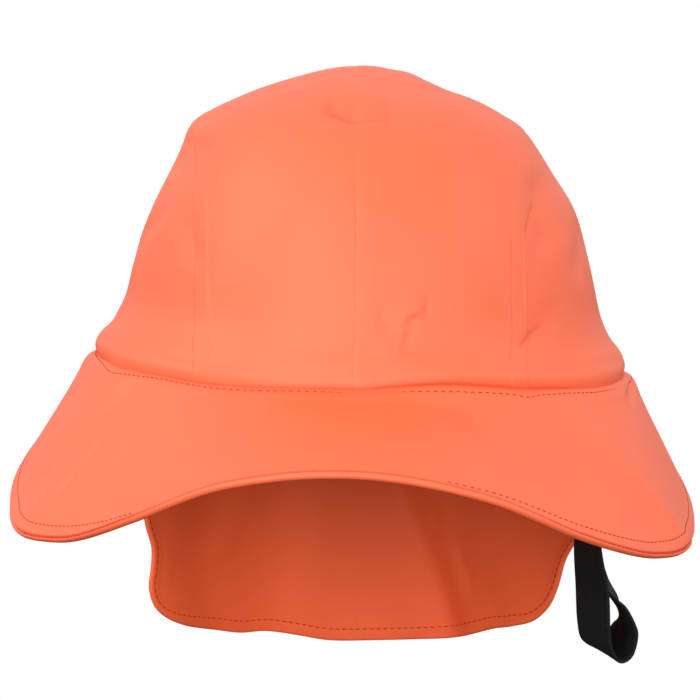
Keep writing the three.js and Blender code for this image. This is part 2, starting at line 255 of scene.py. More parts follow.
# Folds of the crown, each seen square on: face 0 is the front, 1 the back, 2 the wearer's left, 3 the
# right and 4 the top. A fold is pressed in by its depth, and lean raises one side of it and sinks the
# other. It fades out where its face of the crown turns away, and the top's starts at a height.
CROWN_FOLDS = table(
    "face from_across from_up to_across to_up half_width depth lean",
    (0, -10, 86.2, -4.5, 84.6, 2.5, 2.6, 0),
    (0, -10, 83.6, -3.5, 81.4, 0.9, -0.45, 0),
    (0, -3, 83.3, 8, 83.2, 1, 0.8, 0),
    (0, -6, 90, 3, 88.2, 3.6, -0.9, 0),
    (0, 56, 60, 58, 47, 5, 1.8, 0),
    (0, 54.5, 55, 52.5, 49, 1.6, 0.7, -0.4),
    (0, 17, 26, 8, 14, 4, -0.7, 0),
    (0, 21, 29, 20.5, 25.4, 0.9, 0.45, 0.3),
    (0, 20, 25.2, 14.5, 22, 1.2, 0.3, -0.3),
    (0, 14.5, 22, 13, 12, 1.5, 0.3, -0.3),
    (0, 6.5, 25, 9.5, 19, 2.2, 0.4, 0.2),
    (0, 59, 22, 54, 13, 4, 0.35, 0),
    (0, 56.4, 17.6, 53.5, 15.4, 1.1, 0.3, 0.2),
    (0, 53.5, 15.4, 51, 12.6, 1.1, 0.35, 0.25),
    (4, 14.5, -25, 14.5, 12, 4, -0.6, 0),
    (4, 26, -25, 28, 12, 5, 0.4, 0),
    (0, -53, 71, -57, 66, 5, 1.4, 0),
    (0, -54, 47, -52, 40, 4, 0.6, 0.2),
    (1, -18, 78, 12, 80, 5, 1.2, 0.3),
    (1, 20, 30, 34, 52, 5, 0.9, 0.4),
    (1, -40, 24, -22, 12, 4.5, 0.9, 0.3),
    (1, 48, 62, 54, 50, 4, 0.8, 0.3),
    (2, -12, 52, 12, 52, 9, -1, 0),
    (2, -36, 38, -16, 46, 5, 0.7, 0.3),
    (2, 30, 24, 44, 12, 5, 0.8, 0.3),
    (3, -12, 77, 12, 77, 6, -0.8, 0),
    (3, -16, 12.5, 14, 12.5, 3.6, 0.7, 0),
    (3, -30, 50, -12, 43, 6, 0.7, 0.4),
    (3, 20, 16, 36, 30, 5, 0.8, -0.3),
)
TOP_FACE = 68.0
FOLD_FACING = (0, 20)
LEAN_STRENGTH = 1.6

# Folds of the brim between places given by turn and by distance from the seam
BRIM_FOLDS = table(
    "from_turn from_reach to_turn to_reach half_width depth lean",
    (-50, 12, -64, 50, 7, 1.6, 0),
    (-47.4, 16, -53.5, 48, 2.2, 0.5, 0.5),
    (47, 12, 60, 58, 5, -1.2, 0),
    (41.5, 16, 47.5, 52, 7, 0.4, -0.2),
    (172, 56, 158.6, 112, 7, -3.2, 0),
    (150, 70, 143, 100, 12, 1.2, 0),
    (164, 66, 162.5, 71, 2.4, -0.7, 0),
    (157.5, 80, 154.5, 90, 2.6, -0.7, 0),
    (-172, 60, -170, 112, 9, 1, 0),
    (-157, 60, -150, 84, 7, 0.5, 0.2),
    (70, 9, 81, 5, 1.9, 1.3, 0),
    (-20, 20, -26, 50, 7, 0.5, 0.3),
    (18, 16, 24, 44, 7, 0.5, 0.3),
)
# Millimetres of cloth for each degree of turn at the seam
MM_ROUND = 1.728

# The webbing from the end sewn in at the ear to the end sewn in behind it. Turn and tilt give the
# direction across the webbing, towards its front edge.
STRAP_STATIONS = table(
    "x y z turn tilt",
    (83.1, -2, 4, -91, 0),
    (83, -2, -8, -90, 0),
    (81, -1, -30, -80, 1),
    (78.4, 0, -48, -72, 2),
    (77.4, 0.9, -60, -68, 4),
    (79.2, 0.9, -75, -61, 0),
    (80, 0.3, -87, -61, -5),
    (81.4, 0.4, -93, -60, -8.5),
    (84.6, 1.8, -96.3, -61, -10.5),
    (88.2, 3.5, -94.4, -64, -11),
    (90.3, 4.4, -89, -69, -8),
    (89.6, 5.4, -83.6, -80, -2),
    (86.4, 8.2, -78.2, -96, 4),
    (82.5, 12, -71.6, -103, 4),
    (79.6, 16, -60, -102, 4),
    (78.6, 19.4, -45, -96, 2),
    (79.6, 21.5, -25, -86, 0),
    (80.9, 21.5, -8, -80, 0),
    (81.1, 21.5, 4, -79, 0),
)

# Where the middle seam runs, left of the middle as seen from the front, and the jog of the seam
# over the wearer's left temple
CENTRE_SEAM = -2.4
JOG_HEIGHT = 52.5
JOG_SPAN = 7.0
JOG_WIDTH = 2.6
JOG_FADE = (-6, 44)

# How deep the cloth sinks along stretches of the seams: side 0 is the middle seam, 1 the wearer's
# left one and -1 the right one, and the height is the stretch's middle
SEAM_STRETCHES = table(
    "side is_front height half_length depth",
    (0, 1, 54, 13, 0.08),
    (0, 1, 20, 20, 0.035),
    (0, 0, 40, 40, 0.08),
    (1, 1, 50, 8, 0.04),
    (1, 1, 4, 5, 0.05),
    (1, 0, 36, 36, 0.07),
    (-1, 1, 20, 13, 0.03),
    (-1, 0, 36, 36, 0.07),
)
STRETCH_FACING = (-5, 5)
SEAM_LEAST = 0.012
SEAM_ROUNDING = 0.34
SEAM_DIP = 0.05
SEAM_DIP_REACH = 1.3

# The seams' turned-in cloth: how far it reaches, the heights between which it widens at the middle
# seam, and how far it lifts the cloth over it. A bead runs beside the left seam from some height up,
# and a line is pressed along the turned-in cloth's edge there, between some heights.
CENTRE_ALLOWANCE = 7.2
CENTRE_ALLOWANCE_ABOVE = 3.0
ALLOWANCE_WIDENS = (30, 70)
ALLOWANCE_FADE = 0.9
CENTRE_LIFT = 0.2
CENTRE_LIFT_STARTS = 1.4
SIDE_ALLOWANCE = 6.9
SIDE_FADE = 0.7
SIDE_LIFT = 0.2
SIDE_LIFT_ENDS = (-0.3, 0.1)
BEAD_HEIGHT = 0.2
BEAD_PLACE = 0.5
BEAD_STARTS = (14, 30)
PRESSED_LINE_DEPTH = 0.16
PRESSED_LINE_REACH = 0.3
PRESSED_LINE_STARTS = (4, 12)
PRESSED_LINE_ENDS = (40, 54)
FACING_FRONT = (0, 30)

# How much of the outer face's relief the inner face follows, and how far the turned-in cloth lifts it
INNER_FOLLOWS = 0.8
INNER_LIFT = 0.18
INNER_LIFT_ENDS = (5.6, 6.4)

# Soft unevenness of the cloth: how deep, about how long, and from which random draw
CROWN_BROAD_WAVES = (0.22, 42, 3)
CROWN_FINE_WAVES = (0.07, 15, 5)
CROWN_BASE_WAVES = (0.12, 9, 7)
BRIM_BROAD_WAVES = (0.3, 46, 11)
BRIM_FINE_WAVES = (0.06, 15, 13)
WAVES = 14

# Where the unevenness begins: above the seam, where it is finest at the crown's base, and out from
# the seam and in from the edge on the brim
CROWN_WAVES_START = (2, 14)
BASE_WAVES_PLACE = (1, 5)
BASE_WAVES_STRETCH = (1, 1, 0.25)
BRIM_WAVES_START = (3, 20)
BRIM_WAVES_FULL = 14
BRIM_WAVES_LEAST = 0.3

# Painted shade: how much darker the cloth's colour is made where shade falls, in the crevice all round
# the crown's base and more of it under the overhang over each temple, in the furrow along the line
# beside the left temple, and in the furrows along the rows of stitches. The painted dark line of the
# edge's own row is broader over the right of the brow.
BASE_PAINTED_SHADE = 0.3
BASE_PAINTED_SHADE_HEIGHT = (0.7, 1.5)
TEMPLES_PAINTED_SHADE = table("turn half_width strength", (52, 16, 0.6), (-58, 20, 0.2))
LINE_PAINTED_SHADE = 0.4
LINE_PAINTED_SHADE_STARTS = (6, 12)
LINE_PAINTED_SHADE_ENDS = (44, 52)
EDGE_ROW_PAINTED_SHADE = 1.0
EDGE_ROW_BREADTH = 0.42
EDGE_ROW_BROADER = 0.26
EDGE_ROW_BROADEST = (-26, 22)
HEM_ROW_PAINTED_SHADE = 0.16
HEM_ROW_BREADTH = 0.3
SEAM_ROW_PAINTED_SHADE = 0.12
SEAM_ROW_BREADTH = 0.35

# Painted shade in creases in front of the crown, where the creases' shade falls
PAINTED_CREASE_SHADE = table(
    "from_across from_up to_across to_up half_width strength",
    (-9.5, 85.2, -4.5, 82.4, 1.5, 0.26),
    (-3, 82.5, 8, 82.6, 0.55, 0.22),
)

# The brim's edge: how round its rim is, how far the cloth turned in at the seam reaches, the turns
# between which the long back part begins, and the turn of its upright sides
RIM_RADIUS = 0.95
BRIM_ALLOWANCE = 9.5
FLAP_STARTS = (108, 120)
FLAP_SIDE = 136.0

# Rows of stitches: how far they lie from the cut edge, the middle and half width of the turns over
# the brow and along the flap's sides where that changes, and the turns between which the front
# edge's own row runs and the hem's row closes on it and opens again
EDGE_STITCHES = 1.1
BROW = (2, 30)
BROW_EDGE_STITCHES = 2.4
HEM_STITCHES = 5.2
FLAP_STITCHES = 4.3
FLAP_SIDE_STITCHES = 1.1
FLAP_SIDE_ROW = (126, 12)
ROWS_APART = 0.9
EDGE_ROW_START = -57.0
EDGE_ROW_END = 59.0
EDGE_ROW_FADE = 6.0
HEM_CLOSES = (-46, -25)
HEM_OPENS = (6, 26)

# Where the stitches beside the crown sink into the cloth, and how deep
SUNK_STITCHES = table("turn half_width", (2, 6), (71, 8))
SUNK_DEPTH = 0.32

# Depths of the furrows along the rows, of the swells beside them, and of the lift over doubled
# cloth, with how far each reaches. A swell's share is its place between the cut edge and its row,
# and the hem's row flattens over the brow, where it closes on the edge's own.
ROW_REACH = 0.36
EDGE_FURROW = 0.5
EDGE_SWELL = 0.14
EDGE_SWELL_SHARE = 0.45
EDGE_SWELL_REACH = 0.5
HEM_FURROW = 0.1
HEM_SWELL = 0.1
HEM_SWELL_SHARE = 0.6
HEM_SWELL_REACH = 1.3
HEM_FLATTENS = 0.8
HEM_LIFT = 0.1
HEM_FADE = (0.6, 1.8)
SEAM_FURROW = 0.1
SEAM_FURROW_REACH = 0.4
SEAM_SWELL = 0.1
SEAM_SWELL_AWAY = 1.6
SEAM_SWELL_REACH = 1.1
ALLOWANCE_LIFT = 0.16
ALLOWANCE_LIFT_STARTS = (1, 3)
ALLOWANCE_LIFT_ENDS = (BRIM_ALLOWANCE - 1.2, BRIM_ALLOWANCE + 1)

# How finely the crown's cloth is divided, in millimetres between rows, and how far from the ends of
# its seam a side panel's first and last columns start. Over a share of its seam at each end, the
# columns turn from straight lines to ones that follow the seam.
PANEL_STEP = 1.0
SIDE_START = 2.2
SIDE_END_SHARE = 0.1
BORDER_STEPS = np.array((0, 0.07, 0.15, 0.25, 0.37, 0.5, 0.7, 1, 1.4, 1.9, 2.5, 3.2))
ALLOWANCE_STEPS = np.array((3.7, 4, 4.25, 4.5, 4.7, 4.9, 5.1, 5.3, 5.55, 5.8, 6.2))
BASE_STEPS = np.array((0, 0.15, 0.3, 0.5, 0.8, 1.2, 1.7, 2.3, 3, 3.8))

# The brim's rows: from the seam outwards, between, and in from the cut edge. Its columns spread with
# the hem's, and lean by some degrees beside the flap's upright sides.
SEAM_ROWS = np.array((-1.4, -0.6, 0, 0.6, 1.2, 1.8, 2.4, 3, 3.5, 3.9, 4.2, 4.5, 4.8, 5.2, 5.8, 6.6, 7.6,
                      8.4, 9.1, 9.8, 10.5, 11.5))
HEM_ROWS = np.array((9.5, 8.4, 7.6, 7, 6.5, 6, 5.6, 5.35, 5.2, 5, 4.75, 4.5, 4.3, 4.1, 3.8, 3.3, 2.9,
                     2.6, 2.35, 2.1, 1.85, 1.65, 1.5, 1.35, 1.15))
MIDDLE_ROWS = 26
RIM_ANGLES = np.radians((0, 15, 30, 45, 60, 75))
BRIM_COLUMNS = 620
COLUMN_LEAST = 0.1
COLUMN_LEAN = 11.0
LEAN_ENDS = (160, 178)
LEAN_REACH = 20.0

# Counts of points on lines and of divisions of the small pieces, how far a stitch arches, sinks and
# narrows against its thread's radius, how far from its edges the webbing's ribs start, and a
# distance that is far from any edge
SEAM_SAMPLES = 1500
CENTRE_SAMPLES = 700
SIDE_SAMPLES = 500
EDGE_SAMPLES = 60
SEAM_ROW_SAMPLES = 1400
STITCH_RINGS = 7
STITCH_SIDES = 6
STITCH_ARCH = 1.5
STITCH_SINK = 0.9
STITCH_TIP = 0.08
WEBBING_SAMPLES = 4000
WEBBING_STEP = 0.4
WEBBING_COLUMNS = 61
WEBBING_RIBS = 10
RIBS_START = (0.6, 1.4)
INLAND = 99.0

# Names that tie the meshes to their materials
CLOTH_GRID = "cloth"
# The painted shade is kept on the meshes as a point attribute of this name, and darkens the cloth's colour
PAINTED_SHADE = "painted_shade"
INNER_FACE = "Inner face of the cloth"

# Finishes: scale, detail and roughness of each noise, and how much it counts in the colour, the
# roughness and the height. Pitches of the threads are in millimetres and depths of relief in metres,
# a tone is the share that each part of a colour keeps where it is darker or lighter, and a finish is a
# roughness and a gloss. The cloth's shade tone is a random darker tone, the cloth's painted shade tone
# and the thread's ply tones are painted shade, and the tone of the webbing's raised threads is a
# painted highlight.
GRAIN_NOISE = (2600.0, 2.0, 0.6)
GRAIN_SHADES = 0.35
GRAIN_ROUGHENS = 0.3
GRAIN_RISES = 0.16
CRUMPLE_NOISE = (130.0, 3.0, 0.55)
CRUMPLE_RISES = 0.5
CLOUD_NOISE = (24.0, 3.0)
CLOUD_SHADES = 2.0
CLOUD_ROUGHENS = 0.12
WEAVE_PITCH = 0.5
WEAVE_RISES = 0.035
MOTTLE = 0.35
SHADE_TONE = (0.97, 0.9, 0.86)
# Painted shade: the share of each part of the cloth's colour that is kept where the painted shade is full
PAINTED_SHADE_TONE = (0.62, 0.36, 0.3)
PLY_SCALE = 1500.0
PLY_DISTORTION = 1.5
THREAD_FINISH = (0.75, 0.04)
# Painted shade on the thread: both ply tones darken its own colour, so that the stitches read as shadowed in
# their furrows
PLY_PAINTED_SHADE_LIGHTER = (0.95, 0.42, 0.3)
PLY_PAINTED_SHADE_DARKER = (0.65, 0.28, 0.22)
THREAD_RELIEF = 0.00006
FUZZ_NOISE = (3000.0, 2.0, 0.7)
FUZZ_RISES = 0.5
FUZZ_ROUGHENS = 0.2
THREADS_RISE = 0.4
# Painted highlight: how strongly the threads' height lightens the webbing's colour
THREADS_PAINTED_HIGHLIGHT = 1.1
WEBBING_ROUGHNESS = 0.55
WEBBING_GLOSS = 0.1
WEBBING_WARP = 0.5
WEBBING_WEFT = 0.7
WEBBING_RELIEF = 0.00018
# Painted highlight: the share of the webbing's colour kept on the raised threads
THREAD_PAINTED_HIGHLIGHT_TONE = (1.3, 1.3, 1.3)
FLOOR_TONE = (0.985, 0.985, 0.985)
FLOOR_NOISE = (3.0, 3.0)
FLOOR_FINISH = (0.8, 0.1)


def smooth(column, place):
    """Smooth values between the rows of a table's column, at places counted in rows."""
    place = np.asarray(place, float)
    last = len(column) - 1
    row = np.clip(np.floor(place).astype(int), 0, last - 1)
    start, end = column[row], column[row + 1]
    before = (end - column[np.maximum(row - 1, 0)]) / 2
    after = (column[np.minimum(row + 2, last)] - start) / 2
    t = place - row
    rise = t * t * (3 - 2 * t)
    return start + (end - start) * rise + before * t * (1 - t) ** 2 - after * t * t * (1 - t)


def step_up(value, low, high):
    """0 below low, 1 above high, and a smooth rise between."""
    t = np.clip((value - low) / (high - low), 0, 1)
    return t * t * (3 - 2 * t)


def bell(value, middle, half_width):
    """1 at the middle, falling smoothly to nothing past the half width."""
    return np.exp(-(((value - middle) / half_width) ** 2))


def unit(vectors):
    return vectors / np.maximum(np.linalg.norm(vectors, axis=-1, keepdims=True), 1e-12)


def soft_waves(points, depth, size, seed):
    """Soft irregular waves through space: how deep, about how long, and from which random draw."""
    random = np.random.default_rng(seed)
    directions = unit(random.normal(size=(WAVES, 3)))
    lengths = size * random.uniform(0.7, 1.6, WAVES)
    phases = random.uniform(0, 2 * math.pi, WAVES)
    waves = np.sin((points @ directions.T) * (2 * math.pi / lengths) + phases)
    return depth * (waves.sum(axis=-1) / (WAVES / 2))


def fold_depth(across, up, ends, half_width, depth, lean=0):
    """How far a fold between its two ends presses in the places given by two flat coordinates."""
    start = np.array(ends[:2])
    run = np.array(ends[2:]) - start
    away = np.stack([across, up], -1) - start
    along = np.clip(away @ run / (run @ run), 0, 1)
    distance = np.linalg.norm(away - along[..., None] * run, axis=-1) / half_width
    side = (away[..., 0] * run[1] - away[..., 1] * run[0]) / np.linalg.norm(run)
    press = np.exp(-distance * distance)
    return depth * press + lean * (side / half_width * press) * LEAN_STRENGTH


def seam_height(x):
    return -SEAM_TILT * x / OPENING_HALF_WIDTH


def along_seam(name, turn):
    """A column of the seam's table at turns in degrees."""
    place = np.interp((turn + 180) % 360 - 180, SEAM_LINE["turn"], np.arange(len(SEAM_LINE["turn"])))
    return smooth(SEAM_LINE[name], place)


def crown_plain(turn, place):
    """Points of the smooth crown by turn in radians and by place in the table of sections."""
    section = {name: smooth(column, place) for name, column in CROWN_SECTIONS.items()}
    reach = np.where(np.cos(turn) > 0, section["front"], section["back"])
    x = section["half_width"] * np.sin(turn)
    tilt = seam_height(x) * (1 - step_up(section["height"], 0, TILT_END))
    return np.stack([x + section["middle"], -reach * np.cos(turn), section["height"] + tilt], -1)


def crown_normal(turn, place):
    step = 0.02
    inside = np.minimum(place, CROWN_TOP - 0.3)
    up = crown_plain(turn, inside + step) - crown_plain(turn, inside - step)
    around = crown_plain(turn + step, inside) - crown_plain(turn - step, inside)
    level = step_up(place, CROWN_TOP - 1, CROWN_TOP)[..., None]
    normal = unit(np.cross(around, up))
    return unit(normal * (1 - level) + np.array([0, 0, 1.0]) * level)


def side_seam_offset(side, is_front, place):
    """How far a side seam lies from the middle at each place, with the jog over the left temple."""
    plain = SIDE_SEAM_LOW + (SIDE_SEAM_HIGH - SIDE_SEAM_LOW) * np.clip(place / SIDE_SEAM_TOP_SECTION, 0, 1)
    height = smooth(CROWN_SECTIONS["height"], place)
    below = 1 - step_up(height, JOG_HEIGHT - JOG_SPAN / 2, JOG_HEIGHT + JOG_SPAN / 2)
    jog = JOG_WIDTH * below * step_up(height, *JOG_FADE) * is_front if side > 0 else 0
    return plain - jog


def line_offset(side, share):
    """The sideways offset, for over_the_crown, of a line that keeps its share of the way from the
    middle seam to the seam of a side."""
    def offset_at(place, is_front):
        side_seam = side * side_seam_offset(side, is_front, place)
        return (1 - share) * CENTRE_SEAM + share * side_seam
    return offset_at


def looped(outer, inner):
    """Rows of an outer face, followed by those of the inner face in return, as closed loops."""
    return np.concatenate([outer, inner[:, ::-1]], axis=1)


# Close places up the crown and its half width at each
HEIGHTS = np.linspace(0, CROWN_TOP, 4001)
WIDTHS = smooth(CROWN_SECTIONS["half_width"], HEIGHTS)


def over_the_crown(offset_at, samples):
    """The turns and places of a path over the crown, from the front seam to the back one, that keeps
    the sideways offset which offset_at gives for each place, in front and then behind."""
    halves = []
    for is_front in (True, False):
        offsets = np.abs(offset_at(HEIGHTS, is_front))
        clear = np.nonzero(WIDTHS < offsets)[0]
        clear = clear[clear > len(HEIGHTS) // 8]
        top = CROWN_TOP if len(clear) == 0 else np.interp(
            0,
            [WIDTHS[clear[0]] - offsets[clear[0]], WIDTHS[clear[0] - 1] - offsets[clear[0] - 1]],
            [HEIGHTS[clear[0]], HEIGHTS[clear[0] - 1]],
        )
        rise = np.sin(np.linspace(0, math.pi / 2, samples))
        place = top * rise
        width = np.maximum(smooth(CROWN_SECTIONS["half_width"], place), 1e-6)
        turn = np.arcsin(np.clip(offset_at(place, is_front) / width, -1, 1))
        if abs(offset_at(np.array([top]), is_front)[0]) > 0.01:
            turn[-1] = math.copysign(math.pi / 2, turn[-2])
        halves.append((turn if is_front else math.copysign(math.pi, turn[-2]) - turn, place))
    (front_turn, front_place), (back_turn, back_place) = halves
    back = slice(-2, None, -1)
    return np.concatenate([front_turn, back_turn[back]]), np.concatenate([front_place, back_place[back]])


def lengths_along(points):
    steps = np.linalg.norm(np.diff(points, axis=0), axis=1)
    return np.concatenate([[0], np.cumsum(steps)])


def spaced(length, first, last, step):
    """Distances along a length, close together at both ends and evenly spaced between."""
    count = max(int((length - first[-1] - last[-1]) / step), 2)
    middle = np.linspace(first[-1], length - last[-1], count + 1)[1:-1]
    return np.concatenate([first, middle, length - last[::-1]])


def distances_to(line, points):
    """How far each point lies from a line of close points."""
    tree = KDTree(len(line))
    for i, point in enumerate(line):
        tree.insert(point, i)
    tree.balance()
    flat = points.reshape(-1, 3)
    return np.array([tree.find(point)[2] for point in flat]).reshape(points.shape[:-1])


def fine_line(points, step=0.12):
    lengths = lengths_along(points)
    at = np.arange(0, lengths[-1], step)
    return np.stack([np.interp(at, lengths, points[:, k]) for k in range(3)], -1)


def crown_seam_lines():
    """The centre seam and both side seams as lines of close points, keyed by side."""
    lines = {}
    for side in (0, 1, -1):
        turn, place = over_the_crown(line_offset(side or 1, abs(side)), SEAM_SAMPLES)
        lines[side] = fine_line(crown_plain(turn, place))
    return lines


def crown_fold_depth(points):
    """How far the folds press in each point of the crown."""
    x, y, z = np.moveaxis(points, -1, 0)
    faces = ((x, z, -y), (x, z, y), (y, z, x), (y, z, -x), (x, y, z - TOP_FACE))
    total = np.zeros(points.shape[:-1])
    for face, *ends, half_width, depth, lean in zip(*CROWN_FOLDS.values()):
        across, up, facing = faces[int(face)]
        total += fold_depth(across, up, ends, half_width, depth, lean) * step_up(facing, *FOLD_FACING)
    return total


def beyond_side_seam(points):
    """How far each point lies outside the side seam of its own side, below nothing towards the middle."""
    heights = CROWN_SECTIONS["height"][: CROWN_TOP + 1]
    place = np.interp(points[..., 2], heights, np.arange(CROWN_TOP + 1))
    across = points[..., 0] - smooth(CROWN_SECTIONS["middle"], place)
    is_front = points[..., 1] < 0
    left, right = (side_seam_offset(side, is_front, place) for side in (1, -1))
    return np.abs(across) - np.where(across > 0, left, right)


def crown_relief(points, seams):
    """How deep the outer face of the crown lies below the smooth form: soft dips along the seams,
    the raised bands of the turned-in cloth beside them, folds and soft unevenness."""
    height = points[..., 2]
    above_seam = height - seam_height(points[..., 0])
    depth = crown_fold_depth(points)
    to_centre, to_left, to_right = (distances_to(seams[side], points) for side in (0, 1, -1))
    to_side = np.minimum(to_left, to_right)
    depth += SEAM_DIP * bell(to_centre, 0, SEAM_DIP_REACH) + SEAM_DIP * bell(to_side, 0, SEAM_DIP_REACH)
    reach = CENTRE_ALLOWANCE + CENTRE_ALLOWANCE_ABOVE * step_up(height, *ALLOWANCE_WIDENS)
    is_left = step_up(points[..., 0], CENTRE_SEAM, CENTRE_SEAM + CENTRE_LIFT_STARTS)
    past_centre = step_up(to_centre, reach - ALLOWANCE_FADE, reach + ALLOWANCE_FADE)
    depth -= CENTRE_LIFT * is_left * (1 - past_centre)
    is_inner = 1 - step_up(beyond_side_seam(points), *SIDE_LIFT_ENDS)
    past_side = step_up(to_side, SIDE_ALLOWANCE - SIDE_FADE, SIDE_ALLOWANCE + SIDE_FADE)
    depth -= SIDE_LIFT * is_inner * (1 - past_side)
    in_front = step_up(-points[..., 1], *FACING_FRONT)
    bead = bell(to_left, BEAD_PLACE, ROW_REACH) * step_up(height, *BEAD_STARTS)
    depth -= BEAD_HEIGHT * bead * is_inner * in_front
    low = step_up(height, *PRESSED_LINE_STARTS) * (1 - step_up(height, *PRESSED_LINE_ENDS))
    line = bell(to_left, SIDE_ALLOWANCE, PRESSED_LINE_REACH)
    depth += PRESSED_LINE_DEPTH * line * is_inner * in_front * low
    depth += soft_waves(points, *CROWN_BROAD_WAVES) * step_up(above_seam, *CROWN_WAVES_START)
    depth += soft_waves(points, *CROWN_FINE_WAVES)
    base_waves = soft_waves(points * BASE_WAVES_STRETCH, *CROWN_BASE_WAVES)
    depth += base_waves * bell(above_seam, *BASE_WAVES_PLACE)
    return depth


def wall_faces(columns, loop, is_ring):
    """The four-cornered faces of a closed loop of points swept through columns. The first half of
    the loop is the outer face, and an open sweep is closed across its wall at both ends."""
    i, j = np.meshgrid(np.arange(columns if is_ring else columns - 1), np.arange(loop), indexing="ij")
    right, up = (i + 1) % columns, (j + 1) % loop
    faces = np.stack([i * loop + j, right * loop + j, right * loop + up, i * loop + up], -1).reshape(-1, 4)
    if is_ring:
        return faces
    k = np.arange(loop // 2 - 1)
    first = np.stack([k, k + 1, loop - 2 - k, loop - 1 - k], -1)
    last = (columns - 1) * loop + first[:, ::-1]
    return np.concatenate([faces, first, last])


def new_piece(name, points, faces, materials, grid=None, is_inner=None, painted_shade=None):
    """A smooth mesh object from points in millimetres. The grid is every point's place on the cloth
    laid out flat, kept as a UV map. The second material is for the faces that is_inner marks, and
    the last argument tells how much painted shade darkens the cloth's colour at each point."""
    mesh = bpy.data.meshes.new(name)
    mesh.from_pydata((points.reshape(-1, 3) * MM).tolist(), [], faces.tolist(), shade_flat=False)
    if signed_volume(mesh) < 0:
        mesh.flip_normals()
    if grid is not None:
        corners = np.zeros(len(mesh.loops), np.int32)
        mesh.loops.foreach_get("vertex_index", corners)
        layer = mesh.uv_layers.new(name=CLOTH_GRID)
        layer.uv.foreach_set("vector", grid.reshape(-1, 2)[corners].astype(np.float32).ravel())
    for material in materials:
        mesh.materials.append(material)
    if is_inner is not None:
        mesh.polygons.foreach_set("material_index", is_inner.astype(np.int32))
    # Painted shade, kept as a point attribute that darkens the cloth's colour
    if painted_shade is not None:
        values = mesh.attributes.new(PAINTED_SHADE, "FLOAT", "POINT").data
        values.foreach_set("value", painted_shade.astype(np.float32).ravel())
    piece = bpy.data.objects.new(name, mesh)
    bpy.context.scene.collection.objects.link(piece)
    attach(piece, BODY)
    return piece


def wall_piece(name, walls, grid, materials, is_ring=False, painted_shade=None):
    """A piece made of one closed wall, whose inner face has the second material if there is one."""
    loop = walls.shape[1]
    faces = wall_faces(len(walls), loop, is_ring)
    is_inner = (faces % loop >= loop // 2).all(axis=1) if len(materials) > 1 else None
    return new_piece(name, walls, faces, materials, grid, is_inner, painted_shade)


def signed_volume(mesh):
    mesh.calc_loop_triangles()
    points = np.zeros(len(mesh.vertices) * 3, np.float32)
    mesh.vertices.foreach_get("co", points)
    corners = np.zeros(len(mesh.loop_triangles) * 3, np.int32)
    mesh.loop_triangles.foreach_get("vertices", corners)
    a, b, c = points.reshape(-1, 3)[corners].reshape(-1, 3, 3).transpose(1, 0, 2)
    return float((a * np.cross(b, c)).sum())


def seam_sink(side, points, distance):
    """How deep a panel's edge sinks at each distance from a seam, which is more along its stretches."""
    depth = np.full(distance.shape, SEAM_LEAST)
    for seam, is_front, height, half_length, most in zip(*SEAM_STRETCHES.values()):
        if seam == side:
            facing = step_up(-points[..., 1] if is_front else points[..., 1], *STRETCH_FACING)
            depth = depth + most * bell(points[..., 2], height, half_length) * facing
    return depth * np.clip(1 - distance / SEAM_ROUNDING, 0, 1) ** 2


def inner_relief(distance):
    """How much further in the inner face lies over the turned-in cloth beside a seam."""
    return INNER_LIFT * (1 - step_up(distance, *INNER_LIFT_ENDS))


def base_shift(turn, height):
    """How far the crown's base moves up to the seam's uneven line and down into the seam."""
    rise = along_seam("rise", np.degrees(turn)) * (1 - step_up(height, 0, SEAM_RISE_UP))
    return rise - SEAM_OVERLAP * (1 - step_up(height, 0, SEAM_OVERLAP_UP))


def base_fill(turn, height):
    """How far the crown's base stands out over the smooth form before it rolls into the seam."""
    sideways = np.abs(np.sin(turn)) ** BASE_FILL_EVEN
    most = BASE_FILL_SIDES + (BASE_FILL - BASE_FILL_SIDES) * (1 - sideways)
    corner = bell(np.abs(np.degrees(turn)), BASE_CORNER, BASE_CORNER_REACH)
    reaches_up = BASE_FILL_HEIGHT + (BASE_CORNER_HEIGHT - BASE_FILL_HEIGHT) * corner
    fill = (most + BASE_FILL_CORNERS * corner) * (1 - step_up(height / reaches_up, 0, 1))
    inside = np.clip(1 - height / BASE_ROLL, 0, 1)
    return fill - BASE_ROLL * (1 - np.sqrt(np.maximum(1 - inside * inside, 0)))


def crown_painted_shade(turn, height, points, seams):
    """How much painted shade darkens the crown's outer face: in the crevice at its base, in the furrow
    along the edge of the turned-in cloth beside the left temple, and in the creases in front."""
    painted_shade = np.full(turn.shape, BASE_PAINTED_SHADE)
    for middle, half_width, strength in zip(*TEMPLES_PAINTED_SHADE.values()):
        painted_shade += strength * bell(np.degrees(turn), middle, half_width)
    painted_shade *= 1 - step_up(height, *BASE_PAINTED_SHADE_HEIGHT)
    up = points[..., 2]
    low = step_up(up, *LINE_PAINTED_SHADE_STARTS) * (1 - step_up(up, *LINE_PAINTED_SHADE_ENDS))
    in_front = step_up(-points[..., 1], *FACING_FRONT)
    line = bell(distances_to(seams[1], points), SIDE_ALLOWANCE, ROW_REACH) * low * in_front
    painted_shade += LINE_PAINTED_SHADE * line * (beyond_side_seam(points) < 0)
    for *ends, half_width, strength in zip(*PAINTED_CREASE_SHADE.values()):
        painted_shade += in_front * fold_depth(points[..., 0], points[..., 2], ends, half_width, strength)
    return painted_shade


